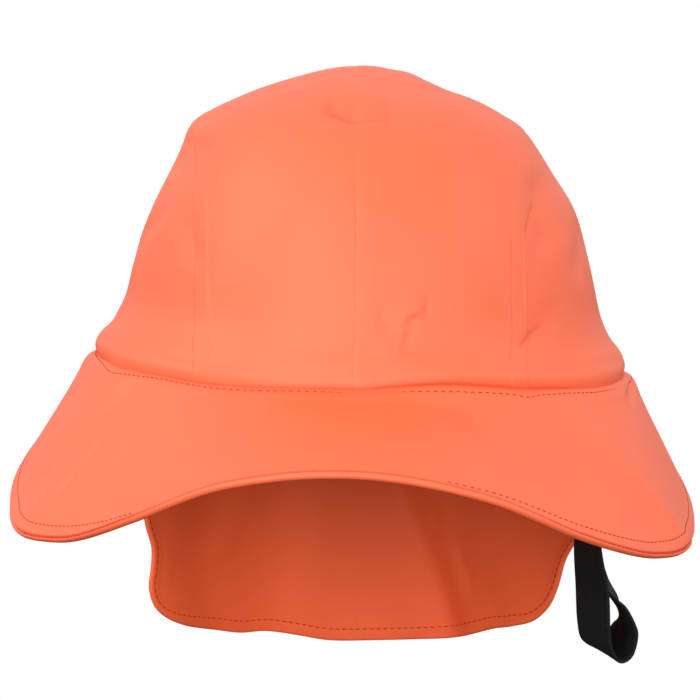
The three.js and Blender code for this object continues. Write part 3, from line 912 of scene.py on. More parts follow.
def panel_wall(turn, place, borders, seams):
    """The points of a panel's closed wall from a grid of turns and places on the smooth crown, and how
    much painted shade darkens each. The borders are the distances from the seam of each side it meets."""
    points = crown_plain(turn, place)
    normals = crown_normal(turn, place)
    height = smooth(CROWN_SECTIONS["height"], place)
    outer_depth = crown_relief(points, seams) - base_fill(turn, height)
    # Painted shade for the outer face, in crevices, furrows and creases; the inner face gets none
    painted_shade = crown_painted_shade(turn, height, points, seams)
    sunk = sum(seam_sink(side, points, distance) for side, distance in borders.items())
    points[..., 2] += base_shift(turn, height)
    outer = points - normals * (outer_depth + sunk)[..., None]
    lifted = sum(inner_relief(distance) for distance in borders.values())
    inner = points - normals * (CROWN_CLOTH + outer_depth * INNER_FOLLOWS + lifted)[..., None]
    return looped(outer, inner), looped(painted_shade, np.zeros(painted_shade.shape))


def make_panel(kind, side, turn, place, borders, from_seam, seams, materials):
    """One panel of the crown. Its cloth laid out flat is measured from its seam and along its rows."""
    walls, painted_shade = panel_wall(turn, place, borders, seams)
    rows = np.broadcast_to(np.arange(len(turn))[:, None] * PANEL_STEP, turn.shape)
    flat = np.stack([from_seam, rows] if kind == "centre" else [rows, from_seam], -1)
    name = f"{kind}_panel_{'left' if side > 0 else 'right'}"
    return wall_piece(name, walls, looped(flat, flat), materials, painted_shade=painted_shade)


def centre_panel_grid(side):
    """Turns and places of half the centre strip, with a column for each distance from its seams."""
    width = SIDE_SEAM_LOW - side * CENTRE_SEAM
    across = spaced(width, BORDER_STEPS, np.concatenate([BORDER_STEPS, ALLOWANCE_STEPS]), PANEL_STEP)
    turns, places = [], []
    for share in across / width:
        turn, place = over_the_crown(line_offset(side, share), CENTRE_SAMPLES)
        lengths = lengths_along(crown_plain(turn, place))
        if not turns:
            rows = spaced(lengths[-1], BASE_STEPS, BASE_STEPS, PANEL_STEP) / lengths[-1]
        at = rows * lengths[-1]
        turns.append(np.interp(at, lengths, turn))
        places.append(np.interp(at, lengths, place))
    return np.array(turns).T, np.array(places).T, across, width


def make_centre_panel(side, seams, materials):
    turn, place, across, width = centre_panel_grid(side)
    to_middle, to_side = (np.broadcast_to(row, turn.shape) for row in (across, width - across))
    borders = {0: to_middle, side: to_side}
    return make_panel("centre", side, turn, place, borders, to_middle, seams, materials)


def side_panel_columns(side):
    """The columns of a side panel, which run from points along its seam down to the base: finely
    spaced turns and places, and the length down to each."""
    seam_turn, seam_place = over_the_crown(line_offset(side, 1), SEAM_SAMPLES)
    seam_turn = np.abs(seam_turn)
    lengths = lengths_along(crown_plain(side * seam_turn, seam_place))
    at = np.linspace(SIDE_START, lengths[-1] - SIDE_START, int(lengths[-1] / PANEL_STEP))
    first, last = seam_turn[0], seam_turn[-1]
    middle = int(np.argmax(seam_place))
    down = np.linspace(0, 1, SIDE_SAMPLES)
    columns = []
    for share, length in zip((at - SIDE_START) / (lengths[-1] - 2 * SIDE_START), at):
        here_turn = np.interp(length, lengths, seam_turn)
        place = np.interp(length, lengths, seam_place) * (1 - down)
        is_front = here_turn < math.pi / 2
        half = slice(0, middle + 1) if is_front else slice(len(seam_turn), middle - 1, -1)
        beside = np.interp(place, seam_place[half], seam_turn[half])
        straight = here_turn + (first + (last - first) * share - here_turn) * down
        from_end = share if is_front else 1 - share
        opening = from_end * down * (math.pi - 2 * first)
        following = beside + opening if is_front else beside - opening
        weight = step_up(from_end, 0, SIDE_END_SHARE)
        turn = side * (following * (1 - weight) + straight * weight)
        columns.append((turn, place, lengths_along(crown_plain(turn, place))))
    return columns


def side_panel_grid(side):
    """Turns, places and distances from the seam of a side panel, with as many rows in each column."""
    columns = side_panel_columns(side)
    ends = BORDER_STEPS[-1] + BASE_STEPS[-1]
    longest = [max(path[-1], ends + 2 * PANEL_STEP) for *_, path in columns]
    count = max(len(spaced(length, BORDER_STEPS, BASE_STEPS, PANEL_STEP)) for length in longest)
    between = count - len(BORDER_STEPS) - len(BASE_STEPS)
    grid = []
    for (turn, place, path), length in zip(columns, longest):
        step = (length - ends) / (between + 1)
        middle_rows = BORDER_STEPS[-1] + step * np.arange(1, between + 1)
        rows = np.concatenate([BORDER_STEPS, middle_rows, length - BASE_STEPS[::-1]])
        rows = rows * (path[-1] / length)
        grid.append((np.interp(rows, path, turn), np.interp(rows, path, place), rows))
    return tuple(np.array(columns) for columns in zip(*grid))


def make_side_panel(side, seams, materials):
    turn, place, from_seam = side_panel_grid(side)
    return make_panel("side", side, turn, place, {side: from_seam}, from_seam, seams, materials)


def brim_plain(turn, reach):
    """Points of the smooth brim by turn in degrees and by distance from the seam along the cloth."""
    angle = np.radians(turn)
    place = (turn + 180) % 360 / SLOPE_STEP
    slope = np.radians(smooth(BRIM_SLOPES["slope"], place))
    curl = np.radians(smooth(BRIM_SLOPES["curl"], place))
    radius = BRIM_BEND / slope
    bent = np.clip(reach - BRIM_SHOULDER, 0, BRIM_BEND)
    past = np.maximum(reach - BRIM_SHOULDER - BRIM_BEND, 0)
    steeper = slope + curl * past / CURL_LENGTH
    out = np.minimum(reach, BRIM_SHOULDER) + radius * np.sin(bent / radius) + past * np.cos(steeper)
    down = radius * (1 - np.cos(bent / radius)) + past * np.sin(steeper)
    x = OPENING_HALF_WIDTH * np.sin(angle)
    y = -OPENING_HALF_LENGTH * np.cos(angle)
    outward = unit(np.stack([x / OPENING_HALF_WIDTH**2, y / OPENING_HALF_LENGTH**2], -1))
    rise = along_seam("rise", turn) * np.clip(1 - reach / SEAM_RISE_OUT, 0, 1) ** 2
    height = seam_height(x) - down - SEAM_GAP + rise
    return np.stack([x + outward[..., 0] * out, y + outward[..., 1] * out, height], -1)


def brim_slants(turn, reach):
    """How the smooth brim's points move with the turn and with the distance from the seam."""
    step = 0.25
    along = (brim_plain(turn + step, reach) - brim_plain(turn - step, reach)) / (2 * step)
    out = (brim_plain(turn, reach + step) - brim_plain(turn, reach - step)) / (2 * step)
    return along, out


def brim_normal(turn, reach):
    along, out = brim_slants(turn, reach)
    return unit(np.cross(out, along))


def closed_curve(points, per_segment):
    """A smooth curve through points that follow one another, with no swing between uneven ones."""
    p0, p1, p2, p3 = points[:-3], points[1:-2], points[2:-1], points[3:]
    t0, t1, t2 = (
        np.maximum(np.linalg.norm(b - a, axis=1, keepdims=True), 1e-9) ** 0.5
        for a, b in ((p0, p1), (p1, p2), (p2, p3))
    )
    leaving = ((p1 - p0) / t0 - (p2 - p0) / (t0 + t1) + (p2 - p1) / t1) * t1
    arriving = ((p2 - p1) / t1 - (p3 - p1) / (t1 + t2) + (p3 - p2) / t2) * t1
    t = (np.arange(per_segment) / per_segment)[None, :, None]
    a, b, c, d = (v[:, None, :] for v in (p1, p2, leaving, arriving))
    curve = a + (b - a) * t * t * (3 - 2 * t) + c * t * (1 - t) ** 2 - d * t * t * (1 - t)
    return curve.reshape(-1, points.shape[1])


def brim_edge(count):
    """The cut edge as turns and reaches, evenly spaced along the flat cloth, starting behind."""
    per_turn = math.radians(1) * OPENING_HALF_LENGTH
    flat = np.stack([BRIM_EDGE["turn"] * per_turn, BRIM_EDGE["reach"]], -1)
    full = np.array([360 * per_turn, 0])
    curve = closed_curve(np.concatenate([flat[-4:] - full, flat, flat[:5] + full]), EDGE_SAMPLES)
    lengths = lengths_along(curve)
    first = np.interp(-180 * per_turn, curve[:, 0], lengths)
    last = np.interp(180 * per_turn, curve[:, 0], lengths)
    at = np.linspace(first, last, count, endpoint=False)
    return np.interp(at, lengths, curve[:, 0]) / per_turn, np.interp(at, lengths, curve[:, 1])


def hem_places(edge_turn, edge_reach, distances):
    """Turns and reaches at distances in from the cut edge, measured square to it on the cloth."""
    points = brim_plain(edge_turn, edge_reach)
    tangent = unit(np.roll(points, -1, axis=0) - np.roll(points, 1, axis=0))
    along, out = brim_slants(edge_turn, edge_reach)
    inward = np.cross(unit(np.cross(out, along)), tangent)
    aa, ab, bb = ((u * v).sum(-1) for u, v in ((along, along), (along, out), (out, out)))
    pa, pb = (inward * along).sum(-1), (inward * out).sum(-1)
    size = aa * bb - ab * ab
    turn_rate, reach_rate = (pa * bb - pb * ab) / size, (pb * aa - pa * ab) / size
    sign = np.where(reach_rate.mean() > 0, -1, 1)
    turn = edge_turn[:, None] + sign * turn_rate[:, None] * distances
    reach = edge_reach[:, None] + sign * reach_rate[:, None] * distances
    return turn, reach


def seam_turns(hem_turn):
    """Where each column of the brim starts at the seam. They spread with the hem's turns, and lean to
    the back beside the upright edges of the flap, so that they run along these."""
    steps = np.maximum(np.diff(hem_turn, append=hem_turn[0] + 360), 0) + COLUMN_LEAST
    even = np.concatenate([[0], np.cumsum(steps)[:-1]]) / steps.sum() * 360 - 180
    lean = COLUMN_LEAN * (1 - step_up(np.abs(even), *LEAN_ENDS))
    return even + lean * (bell(even, FLAP_SIDE, LEAN_REACH) - bell(even, -FLAP_SIDE, LEAN_REACH))


def brim_grid():
    """Turns, reaches and distances from the cut edge of the brim's rows, from the seam to the rim."""
    edge_turn, edge_reach = brim_edge(BRIM_COLUMNS)
    rim = RIM_RADIUS * (1 - np.sin(RIM_ANGLES))
    from_edge = np.concatenate([HEM_ROWS, rim])
    hem_turn, hem_reach = hem_places(edge_turn, edge_reach, from_edge)
    seam_turn = seam_turns(hem_turn[:, 0])[:, None]
    seam_reach = np.broadcast_to(SEAM_ROWS, (BRIM_COLUMNS, len(SEAM_ROWS)))
    share = np.linspace(0, 1, MIDDLE_ROWS + 2)[1:-1]
    middle_turn = seam_turn + (hem_turn[:, :1] - seam_turn) * share
    middle_reach = SEAM_ROWS[-1] + (hem_reach[:, :1] - SEAM_ROWS[-1]) * share
    turn = np.concatenate([np.broadcast_to(seam_turn, seam_reach.shape), middle_turn, hem_turn], axis=1)
    reach = np.concatenate([seam_reach, middle_reach, hem_reach], axis=1)
    inner = np.full((BRIM_COLUMNS, len(SEAM_ROWS) + MIDDLE_ROWS), INLAND)
    edge = np.concatenate([inner, np.broadcast_to(from_edge, hem_turn.shape)], axis=1)
    return turn, reach, edge


def is_back(turn):
    """1 on the long back part of the brim, 0 on its front part."""
    return step_up(np.abs((turn + 180) % 360 - 180), *FLAP_STARTS)


def edge_row(turn):
    """How far the front edge's own stitches lie from the cut edge, which is most over the brow."""
    return EDGE_STITCHES + (BROW_EDGE_STITCHES - EDGE_STITCHES) * bell(turn, *BROW)


def edge_row_shows(turn):
    starts = step_up(turn, EDGE_ROW_START - EDGE_ROW_FADE, EDGE_ROW_START)
    return starts * (1 - step_up(turn, EDGE_ROW_END, EDGE_ROW_END + EDGE_ROW_FADE))


def hem_closing(turn):
    """1 over the brow, where the hem's stitches close on the edge's own row."""
    return step_up(turn, *HEM_CLOSES) * (1 - step_up(turn, *HEM_OPENS))


def hem_row(turn):
    """How far the hem's stitches lie from the cut edge at each turn."""
    plain = HEM_STITCHES + (FLAP_STITCHES - HEM_STITCHES) * is_back(turn)
    plain = plain + (FLAP_SIDE_STITCHES - plain) * bell(np.abs(turn), *FLAP_SIDE_ROW)
    return plain + (edge_row(turn) + ROWS_APART - plain) * hem_closing(turn)


def brim_fold_depth(turn, reach):
    """How far the folds press in each place of the brim."""
    total = np.zeros(turn.shape)
    for from_turn, from_reach, to_turn, to_reach, *sizes in zip(*BRIM_FOLDS.values()):
        middle = (from_turn + to_turn) / 2
        near = (turn - middle + 180) % 360 - 180 + middle
        ends = (from_turn * MM_ROUND, from_reach, to_turn * MM_ROUND, to_reach)
        total += fold_depth(near * MM_ROUND, reach, ends, *sizes)
    return total


def brim_shape(turn, reach, edge):
    """How deep both faces of the brim lie below the smooth form, through folds and unevenness."""
    points = brim_plain(turn, reach)
    inland = BRIM_WAVES_LEAST + (1 - BRIM_WAVES_LEAST) * step_up(edge, 0, BRIM_WAVES_FULL)
    fade = step_up(reach, *BRIM_WAVES_START) * inland
    broad, fine = (soft_waves(points, *waves) for waves in (BRIM_BROAD_WAVES, BRIM_FINE_WAVES))
    return brim_fold_depth(turn, reach) + (broad * fade + fine * fade)


def sewn_relief(turn, reach, edge, is_upper):
    """Furrows along the stitch rows, the soft swell between them and the turned-in cloth."""
    first, second = edge_row(turn), hem_row(turn)
    edge_swell = EDGE_SWELL * bell(edge, first * EDGE_SWELL_SHARE, EDGE_SWELL_REACH)
    hem_swell = HEM_SWELL * bell(edge, second * HEM_SWELL_SHARE, HEM_SWELL_REACH)
    edge_relief = EDGE_FURROW * bell(edge, first, ROW_REACH) - edge_swell
    hem_relief = HEM_FURROW * bell(edge, second, ROW_REACH) - hem_swell
    depth = edge_row_shows(turn) * edge_relief + (1 - HEM_FLATTENS * hem_closing(turn)) * hem_relief
    past_hem = step_up(edge, second + HEM_FADE[0], second + HEM_FADE[1])
    depth -= HEM_LIFT * (1 - past_hem)
    if is_upper:
        row = along_seam("stitches", turn)
        swell = SEAM_SWELL * bell(reach, row - SEAM_SWELL_AWAY, SEAM_SWELL_REACH)
        depth += SEAM_FURROW * bell(reach, row, SEAM_FURROW_REACH) - swell
        turned_in = step_up(reach, *ALLOWANCE_LIFT_STARTS) * (1 - step_up(reach, *ALLOWANCE_LIFT_ENDS))
        depth -= ALLOWANCE_LIFT * turned_in
    return depth


def brim_painted_shade(turn, reach, edge):
    """How much painted shade darkens the brim in the furrows along its rows of stitches."""
    breadth = EDGE_ROW_BREADTH + EDGE_ROW_BROADER * bell(turn, *EDGE_ROW_BROADEST)
    painted_shade = EDGE_ROW_PAINTED_SHADE * edge_row_shows(turn) * bell(edge, edge_row(turn), breadth)
    painted_shade += HEM_ROW_PAINTED_SHADE * bell(edge, hem_row(turn), HEM_ROW_BREADTH) * (1 - hem_closing(turn))
    painted_shade += SEAM_ROW_PAINTED_SHADE * bell(reach, along_seam("stitches", turn), SEAM_ROW_BREADTH)
    return np.clip(painted_shade, 0, 1)


def make_brim(materials):
    turn, reach, edge = brim_grid()
    normals = brim_normal(turn, reach)
    points = brim_plain(turn, reach) - normals * brim_shape(turn, reach, edge)[..., None]
    inside_rim = RIM_RADIUS - np.minimum(edge, RIM_RADIUS)
    rounding = RIM_RADIUS - np.sqrt(np.maximum(RIM_RADIUS**2 - inside_rim**2, 0))
    upper_depth = sewn_relief(turn, reach, edge, True) + rounding
    under_depth = BRIM_CLOTH - sewn_relief(turn, reach, edge, False) - rounding
    walls = looped(*(points - normals * depth[..., None] for depth in (upper_depth, under_depth)))
    flat = np.stack([turn * MM_ROUND, reach], -1)
    # Painted shade along the rows of stitches, on both faces of the brim
    painted_shade = brim_painted_shade(turn, reach, edge)
    return wall_piece("brim_and_flap", walls, looped(flat, flat), materials, True,
                      looped(painted_shade, painted_shade))


def stitch_row(points, normals, pitch, length, radius):
    """Sewn stitches along a line on the cloth: short bent rods whose ends dive into it."""
    lengths = lengths_along(points)
    count = int(lengths[-1] / pitch)
    starts = (np.arange(count) + 0.1) * pitch
    rings = np.linspace(0, 1, STITCH_RINGS)
    at = starts[:, None] + rings * length
    sample = lambda columns: np.stack([np.interp(at, lengths, columns[:, k]) for k in range(3)], -1)
    centre, normal = sample(points), unit(sample(normals))
    tangent = unit(np.gradient(centre, axis=1))
    across = unit(np.cross(tangent, normal))
    lift = radius * (STITCH_ARCH * np.sin(math.pi * rings) ** 0.5 - STITCH_SINK)
    girth = radius * np.sqrt(np.maximum(1 - (2 * rings - 1) ** 6, STITCH_TIP))
    around = np.linspace(0, 2 * math.pi, STITCH_SIDES, endpoint=False)[:, None]
    middle = centre + normal * lift[:, None]
    ring = (
        middle[:, :, None]
        + across[:, :, None] * (np.cos(around) * girth[:, None, None])
        + normal[:, :, None] * (np.sin(around) * girth[:, None, None])
    )
    return ring.reshape(count, -1, 3)


def rod_faces(rings, sides):
    """Faces of a rod of rings, closed at both ends."""
    faces = []
    for i in range(rings - 1):
        for j in range(sides):
            k = (j + 1) % sides
            faces.append((i * sides + j, i * sides + k, (i + 1) * sides + k, (i + 1) * sides + j))
    last = (rings - 1) * sides
    for start, turn in ((0, -1), (last, 1)):
        ends = [start + j for j in range(sides)][::turn]
        faces += [(ends[0], ends[1], ends[2], ends[3]), (ends[0], ends[3], ends[4], ends[5])]
    return np.array(faces)


def row_on_brim(turn, reach, edge, is_upper):
    """A line just inside one face of the brim, with the outward direction of that face."""
    normals = brim_normal(turn, reach)
    relief = sewn_relief(turn, reach, edge, is_upper)
    depth = relief if is_upper else BRIM_CLOTH - relief
    points = brim_plain(turn, reach) - normals * (brim_shape(turn, reach, edge) + depth)[..., None]
    return points, normals if is_upper else -normals


def stitch_lines():
    """Every row of stitches as points and outward directions."""
    edge_turn, edge_reach = brim_edge(BRIM_COLUMNS * 2)
    in_front = (edge_turn > EDGE_ROW_START) & (edge_turn < EDGE_ROW_END)
    open_hem = hem_closing(edge_turn) < 0.9
    gap = int(np.argmin(open_hem))
    rows = (
        (edge_row(edge_turn), np.nonzero(in_front)[0]),
        (hem_row(edge_turn), np.nonzero(np.roll(open_hem, -gap))[0] + gap),
    )
    lines = []
    for is_upper in (True, False):
        for distance, order in rows:
            turn, reach = hem_places(edge_turn, edge_reach, distance[:, None])
            order = order % len(edge_turn)
            lines.append(row_on_brim(turn[order, 0], reach[order, 0], distance[order], is_upper))
    turn = np.linspace(-180, 180, SEAM_ROW_SAMPLES)
    points, normals = row_on_brim(turn, along_seam("stitches", turn), np.full(len(turn), INLAND), True)
    sunk = sum(bell(turn, middle, half) for middle, half in zip(*SUNK_STITCHES.values()))
    lines.append((points - normals * (SUNK_DEPTH * sunk)[:, None], normals))
    return lines


def make_stitches(material, sewing):
    pitch = (sewing.stitch_length + sewing.stitch_gap) / MM
    sizes = (pitch, sewing.stitch_length / MM, sewing.thread_radius / MM)
    rods = np.concatenate([stitch_row(points, normals, *sizes) for points, normals in stitch_lines()])
    first = np.arange(len(rods))[:, None, None] * rods.shape[1]
    faces = (rod_faces(STITCH_RINGS, STITCH_SIDES)[None] + first).reshape(-1, 4)
    return new_piece("stitches", rods, faces, [material])


def webbing_grid(ribs_deep):
    """The closed cross-sections of the ribbed webbing along its path, and its length."""
    last = len(STRAP_STATIONS["x"]) - 1
    centre_at = lambda place: np.stack([smooth(STRAP_STATIONS[k], place) for k in "xyz"], -1)
    dense = np.linspace(0, last, WEBBING_SAMPLES)
    lengths = lengths_along(centre_at(dense))
    along = np.linspace(0, lengths[-1], int(lengths[-1] / WEBBING_STEP))
    place = np.interp(along, lengths, dense)
    forward = unit(centre_at(np.minimum(place + 0.05, last)) - centre_at(np.maximum(place - 0.05, 0)))
    turn, tilt = (np.radians(smooth(STRAP_STATIONS[k], place)) for k in ("turn", "tilt"))
    across = np.stack([np.cos(tilt) * np.cos(turn), np.cos(tilt) * np.sin(turn), np.sin(tilt)], -1)
    face = unit(np.cross(forward, across))
    width = unit(np.cross(face, forward))
    sideways = np.linspace(-1, 1, WEBBING_COLUMNS)
    half = WEBBING_THICKNESS / 2
    edge = (1 - np.abs(sideways)) * WEBBING_WIDTH / 2
    rounded = half * np.sqrt(np.clip(1 - (1 - np.clip(edge / half, 0, 1)) ** 2, 0.02, 1))
    thick = rounded + ribs_deep * np.cos(sideways * math.pi * WEBBING_RIBS) * step_up(edge, *RIBS_START)
    flat = sideways * WEBBING_WIDTH / 2
    middle = centre_at(place)[:, None] + width[:, None] * flat[:, None]
    swell = face[:, None] * thick[:, None]
    grid = np.stack(np.broadcast_arrays(flat, along[:, None]), -1)
    return looped(middle + swell, middle - swell), looped(grid, grid), lengths[-1]


def make_strap(material, strap):
    walls, grid, length = webbing_grid(strap.rib_height / MM)
    piece = wall_piece("webbing_loop", walls, grid, [material])
    return piece


class Nodes:
    """Adds nodes to a tree and joins them."""

    def __init__(self, tree):
        self.tree = tree

    def add(self, kind, values=None, **settings):
        node = self.tree.nodes.new(kind)
        for name, value in settings.items():
            setattr(node, name, value)
        for key, value in (values or {}).items():
            self.set(node, key, value)
        return node

    def set(self, node, key, value):
        socket = node.inputs[key]
        if isinstance(value, bpy.types.NodeSocket):
            self.tree.links.new(value, socket)
        else:
            socket.default_value = value

    def math(self, operation, a, b=0.0):
        return self.add("ShaderNodeMath", {0: a, 1: b}, operation=operation).outputs[0]

    def times(self, a, b):
        return self.math("MULTIPLY", a, b)

    def plus(self, a, b):
        return self.math("ADD", a, b)

    def minus(self, a, b):
        return self.math("SUBTRACT", a, b)

    def place(self):
        return self.add("ShaderNodeTexCoord").outputs["Object"]

    def noise(self, scale, detail=2.0, roughness=0.5):
        values = {"Vector": self.place(), "Scale": scale, "Detail": detail, "Roughness": roughness}
        return self.add("ShaderNodeTexNoise", values).outputs["Fac"]

    def mix(self, factor, a, b):
        return self.add("ShaderNodeMix", {0: factor, 6: a, 7: b}, data_type="RGBA").outputs[2]

    def weave(self, warp_pitch, weft_pitch):
        """Threads that cross on the cloth laid out flat, with their pitches in millimetres."""
        flat = self.add("ShaderNodeUVMap", uv_map=CLOTH_GRID).outputs["UV"]
        axes = self.add("ShaderNodeSeparateXYZ", {0: flat}).outputs
        return self.times(*(
            self.math("SINE", self.times(axes[k], 2 * math.pi / pitch))
            for k, pitch in enumerate((warp_pitch, weft_pitch))
        ))


def coated_cloth_group():
    """Colour, roughness and height of smooth cloth with a coating over a fine weave, with painted shade
    darkening the colour where the mesh marks it.
    """
    group = bpy.data.node_groups.new("Coated cloth", "ShaderNodeTree")
    for name, kind, default in (
        ("Colour", "NodeSocketColor", (0.9, 0.2, 0.1, 1)),
        ("Shade", "NodeSocketColor", (0.8, 0.15, 0.07, 1)),
        ("Pressed", "NodeSocketColor", (0.6, 0.07, 0.03, 1)),
        ("Mottle", "NodeSocketFloat", 0.3),
        ("Roughness", "NodeSocketFloat", 0.45),
    ):
        group.interface.new_socket(name, in_out="INPUT", socket_type=kind).default_value = default
    for name, kind in (("Colour", "Color"), ("Roughness", "Float"), ("Height", "Float")):
        group.interface.new_socket(name, in_out="OUTPUT", socket_type=f"NodeSocket{kind}")
    nodes = Nodes(group)
    given = nodes.add("NodeGroupInput").outputs
    grain = nodes.noise(*GRAIN_NOISE)
    crumple = nodes.noise(*CRUMPLE_NOISE)
    cloud = nodes.noise(*CLOUD_NOISE)
    fine = nodes.times(nodes.minus(grain, 0.5), GRAIN_SHADES)
    patch = nodes.minus(nodes.times(cloud, CLOUD_SHADES), 0.5)
    amount = nodes.times(nodes.plus(patch, fine), given["Mottle"])
    clamped = nodes.add("ShaderNodeClamp", {"Value": amount}).outputs[0]
    colour = nodes.mix(clamped, given["Colour"], given["Shade"])
    # Painted shade: the colour darkens towards the painted shade tone as far as the mesh's attribute says
    painted_shade = nodes.add("ShaderNodeAttribute", attribute_name=PAINTED_SHADE).outputs["Fac"]
    rough = nodes.plus(given["Roughness"], nodes.times(fine, GRAIN_ROUGHENS))
    height = nodes.plus(nodes.times(crumple, CRUMPLE_RISES), nodes.times(grain, GRAIN_RISES))
    nodes.add("NodeGroupOutput", {
        "Colour": nodes.mix(painted_shade, colour, given["Pressed"]),
        "Roughness": nodes.plus(rough, nodes.times(nodes.minus(cloud, 0.5), CLOUD_ROUGHENS)),
        "Height": nodes.plus(height, nodes.times(nodes.weave(WEAVE_PITCH, WEAVE_PITCH), WEAVE_RISES)),
    })
    return group


def new_material(name):
    material = bpy.data.materials.new(name)
    material.use_nodes = True
    material.node_tree.nodes.clear()
    nodes = Nodes(material.node_tree)
    shader = nodes.add("ShaderNodeBsdfPrincipled")
    nodes.add("ShaderNodeOutputMaterial", {"Surface": shader.outputs["BSDF"]})
    return material, nodes, shader


def set_finish(nodes, shader, colour, roughness, gloss, height=None, relief=0.0):
    """Gives a shader its colour, roughness and gloss, and a relief whose depth is in metres."""
    for name, value in (("Base Color", colour), ("Roughness", roughness), ("Specular IOR Level", gloss)):
        nodes.set(shader, name, value)
    if height is not None:
        bump = nodes.add("ShaderNodeBump", {"Distance": relief, "Height": height})
        nodes.set(shader, "Normal", bump.outputs["Normal"])


def toned(colour, shares):
    """A colour of which each part keeps its share."""
    return (*(part * share for part, share in zip(colour, shares)), 1)


def cloth_material(name, colour, roughness, gloss, relief):
    """One face of the cloth from the shared group, with the gloss that its coating gives."""
    material, nodes, shader = new_material(name)
    group = bpy.data.node_groups.get("Coated cloth") or coated_cloth_group()
    values = {"Colour": (*colour, 1), "Mottle": MOTTLE, "Roughness": roughness}
    # The painted shade tone, for crevices, furrows and creases
    values.update(Shade=toned(colour, SHADE_TONE), Pressed=toned(colour, PAINTED_SHADE_TONE))
    cloth = nodes.add("ShaderNodeGroup", values, node_tree=group).outputs
    set_finish(nodes, shader, cloth["Colour"], cloth["Roughness"], gloss, cloth["Height"], relief)
    return material


def both_faces(name, colour, cloth):
    """The coated outer face and the plain inner face of the cloth."""
    inner = bpy.data.materials.get(INNER_FACE) or cloth_material(
        INNER_FACE, cloth.inner_colour, cloth.inner_roughness, cloth.inner_gloss, cloth.relief
    )
    return cloth_material(name, colour, cloth.roughness, cloth.gloss, cloth.relief), inner


def thread_material(colour):
    """Twisted sewing thread: fine slanting plies in two darker tones of coral, which are painted shade that
    makes the stitches read as shadowed in their furrows.
    """
    material, nodes, shader = new_material("Sewing thread")
    values = {"Vector": nodes.place(), "Scale": PLY_SCALE, "Distortion": PLY_DISTORTION}
    plies = nodes.add("ShaderNodeTexWave", values).outputs["Fac"]
    colours = nodes.mix(plies, toned(colour, PLY_PAINTED_SHADE_LIGHTER), toned(colour, PLY_PAINTED_SHADE_DARKER))
    set_finish(nodes, shader, colours, *THREAD_FINISH, plies, THREAD_RELIEF)
    return material


def webbing_material(colour):
    """Woven webbing: ribs along it and small cross threads, with a faint painted highlight that lightens the
    colour on the raised threads.
    """
    material, nodes, shader = new_material("Black webbing")
    fuzz = nodes.noise(*FUZZ_NOISE)
    weave = nodes.weave(WEBBING_WARP, WEBBING_WEFT)
    height = nodes.plus(nodes.times(weave, THREADS_RISE), nodes.times(fuzz, FUZZ_RISES))
    # Painted highlight: the higher the threads, the lighter their colour
    factor = nodes.add("ShaderNodeClamp", {"Value": nodes.times(height, THREADS_PAINTED_HIGHLIGHT)}).outputs[0]
    colours = nodes.mix(factor, (*colour, 1), toned(colour, THREAD_PAINTED_HIGHLIGHT_TONE))
    rough = nodes.plus(WEBBING_ROUGHNESS, nodes.times(fuzz, FUZZ_ROUGHENS))
    set_finish(nodes, shader, colours, rough, WEBBING_GLOSS, height, WEBBING_RELIEF)
    return material


def stage_material(colour):
    """A matt white floor that is lit from within as the camera sees it, like a studio's white cove."""
    material, nodes, shader = new_material("Pale floor")
    colours = nodes.mix(nodes.noise(*FLOOR_NOISE), (*colour, 1), toned(colour, FLOOR_TONE))
    set_finish(nodes, shader, colours, *FLOOR_FINISH)
    seen = nodes.add("ShaderNodeLightPath").outputs["Is Camera Ray"]
    glow = nodes.add("ShaderNodeEmission", {"Color": (1, 1, 1, 1), "Strength": 1.0})
    both = nodes.add("ShaderNodeMixShader", {0: seen, 1: shader.outputs["BSDF"], 2: glow.outputs[0]})
    nodes.set(material.node_tree.nodes["Material Output"], "Surface", both.outputs[0])
    return material


# Stage sizes in metres and angles in degrees
FLOOR_DROP = 1.7
FLOOR_FLAT_RINGS = (0.5, 1.5, 3.0)
FLOOR_RADIUS = 4.6
FLOOR_RISE = 2.2
FLOOR_CURVE_STEPS = 13
FLOOR_SIDES = 96
LIGHT_DISTANCE = 2.4
LIGHT_SIZE = 1.0
HORIZON = 0.15

# Soft lights aimed at the hat: azimuth runs from the front towards the wearer's left
LIGHTS = table(
    "azimuth elevation share",
    (0, 5, 0.88),
    (-35, 5, 0.54),
    (35, 5, 0.6),
    (-35, 15, 0.42),
    (-35, 37, 0.2),
    (-85, 28, 0.65),
    (85, 24, 0.29),
)
CAMERA_TARGET = Vector((-0.0034, 0.0, 0.0043))
CAMERA_DISTANCE = 1.3
CAMERA_ELEVATION = 5.0
CAMERA_ROLL = 1.0
FRAME_PIXELS = 700
FOCAL_PIXELS = 3900
SENSOR_WIDTH = 36.0
CAMERA_CLIP = (0.05, 50)


def new_object(name, data):
    """An object that is added to the scene."""
    made = bpy.data.objects.new(name, data)
    bpy.context.scene.collection.objects.link(made)
    return made


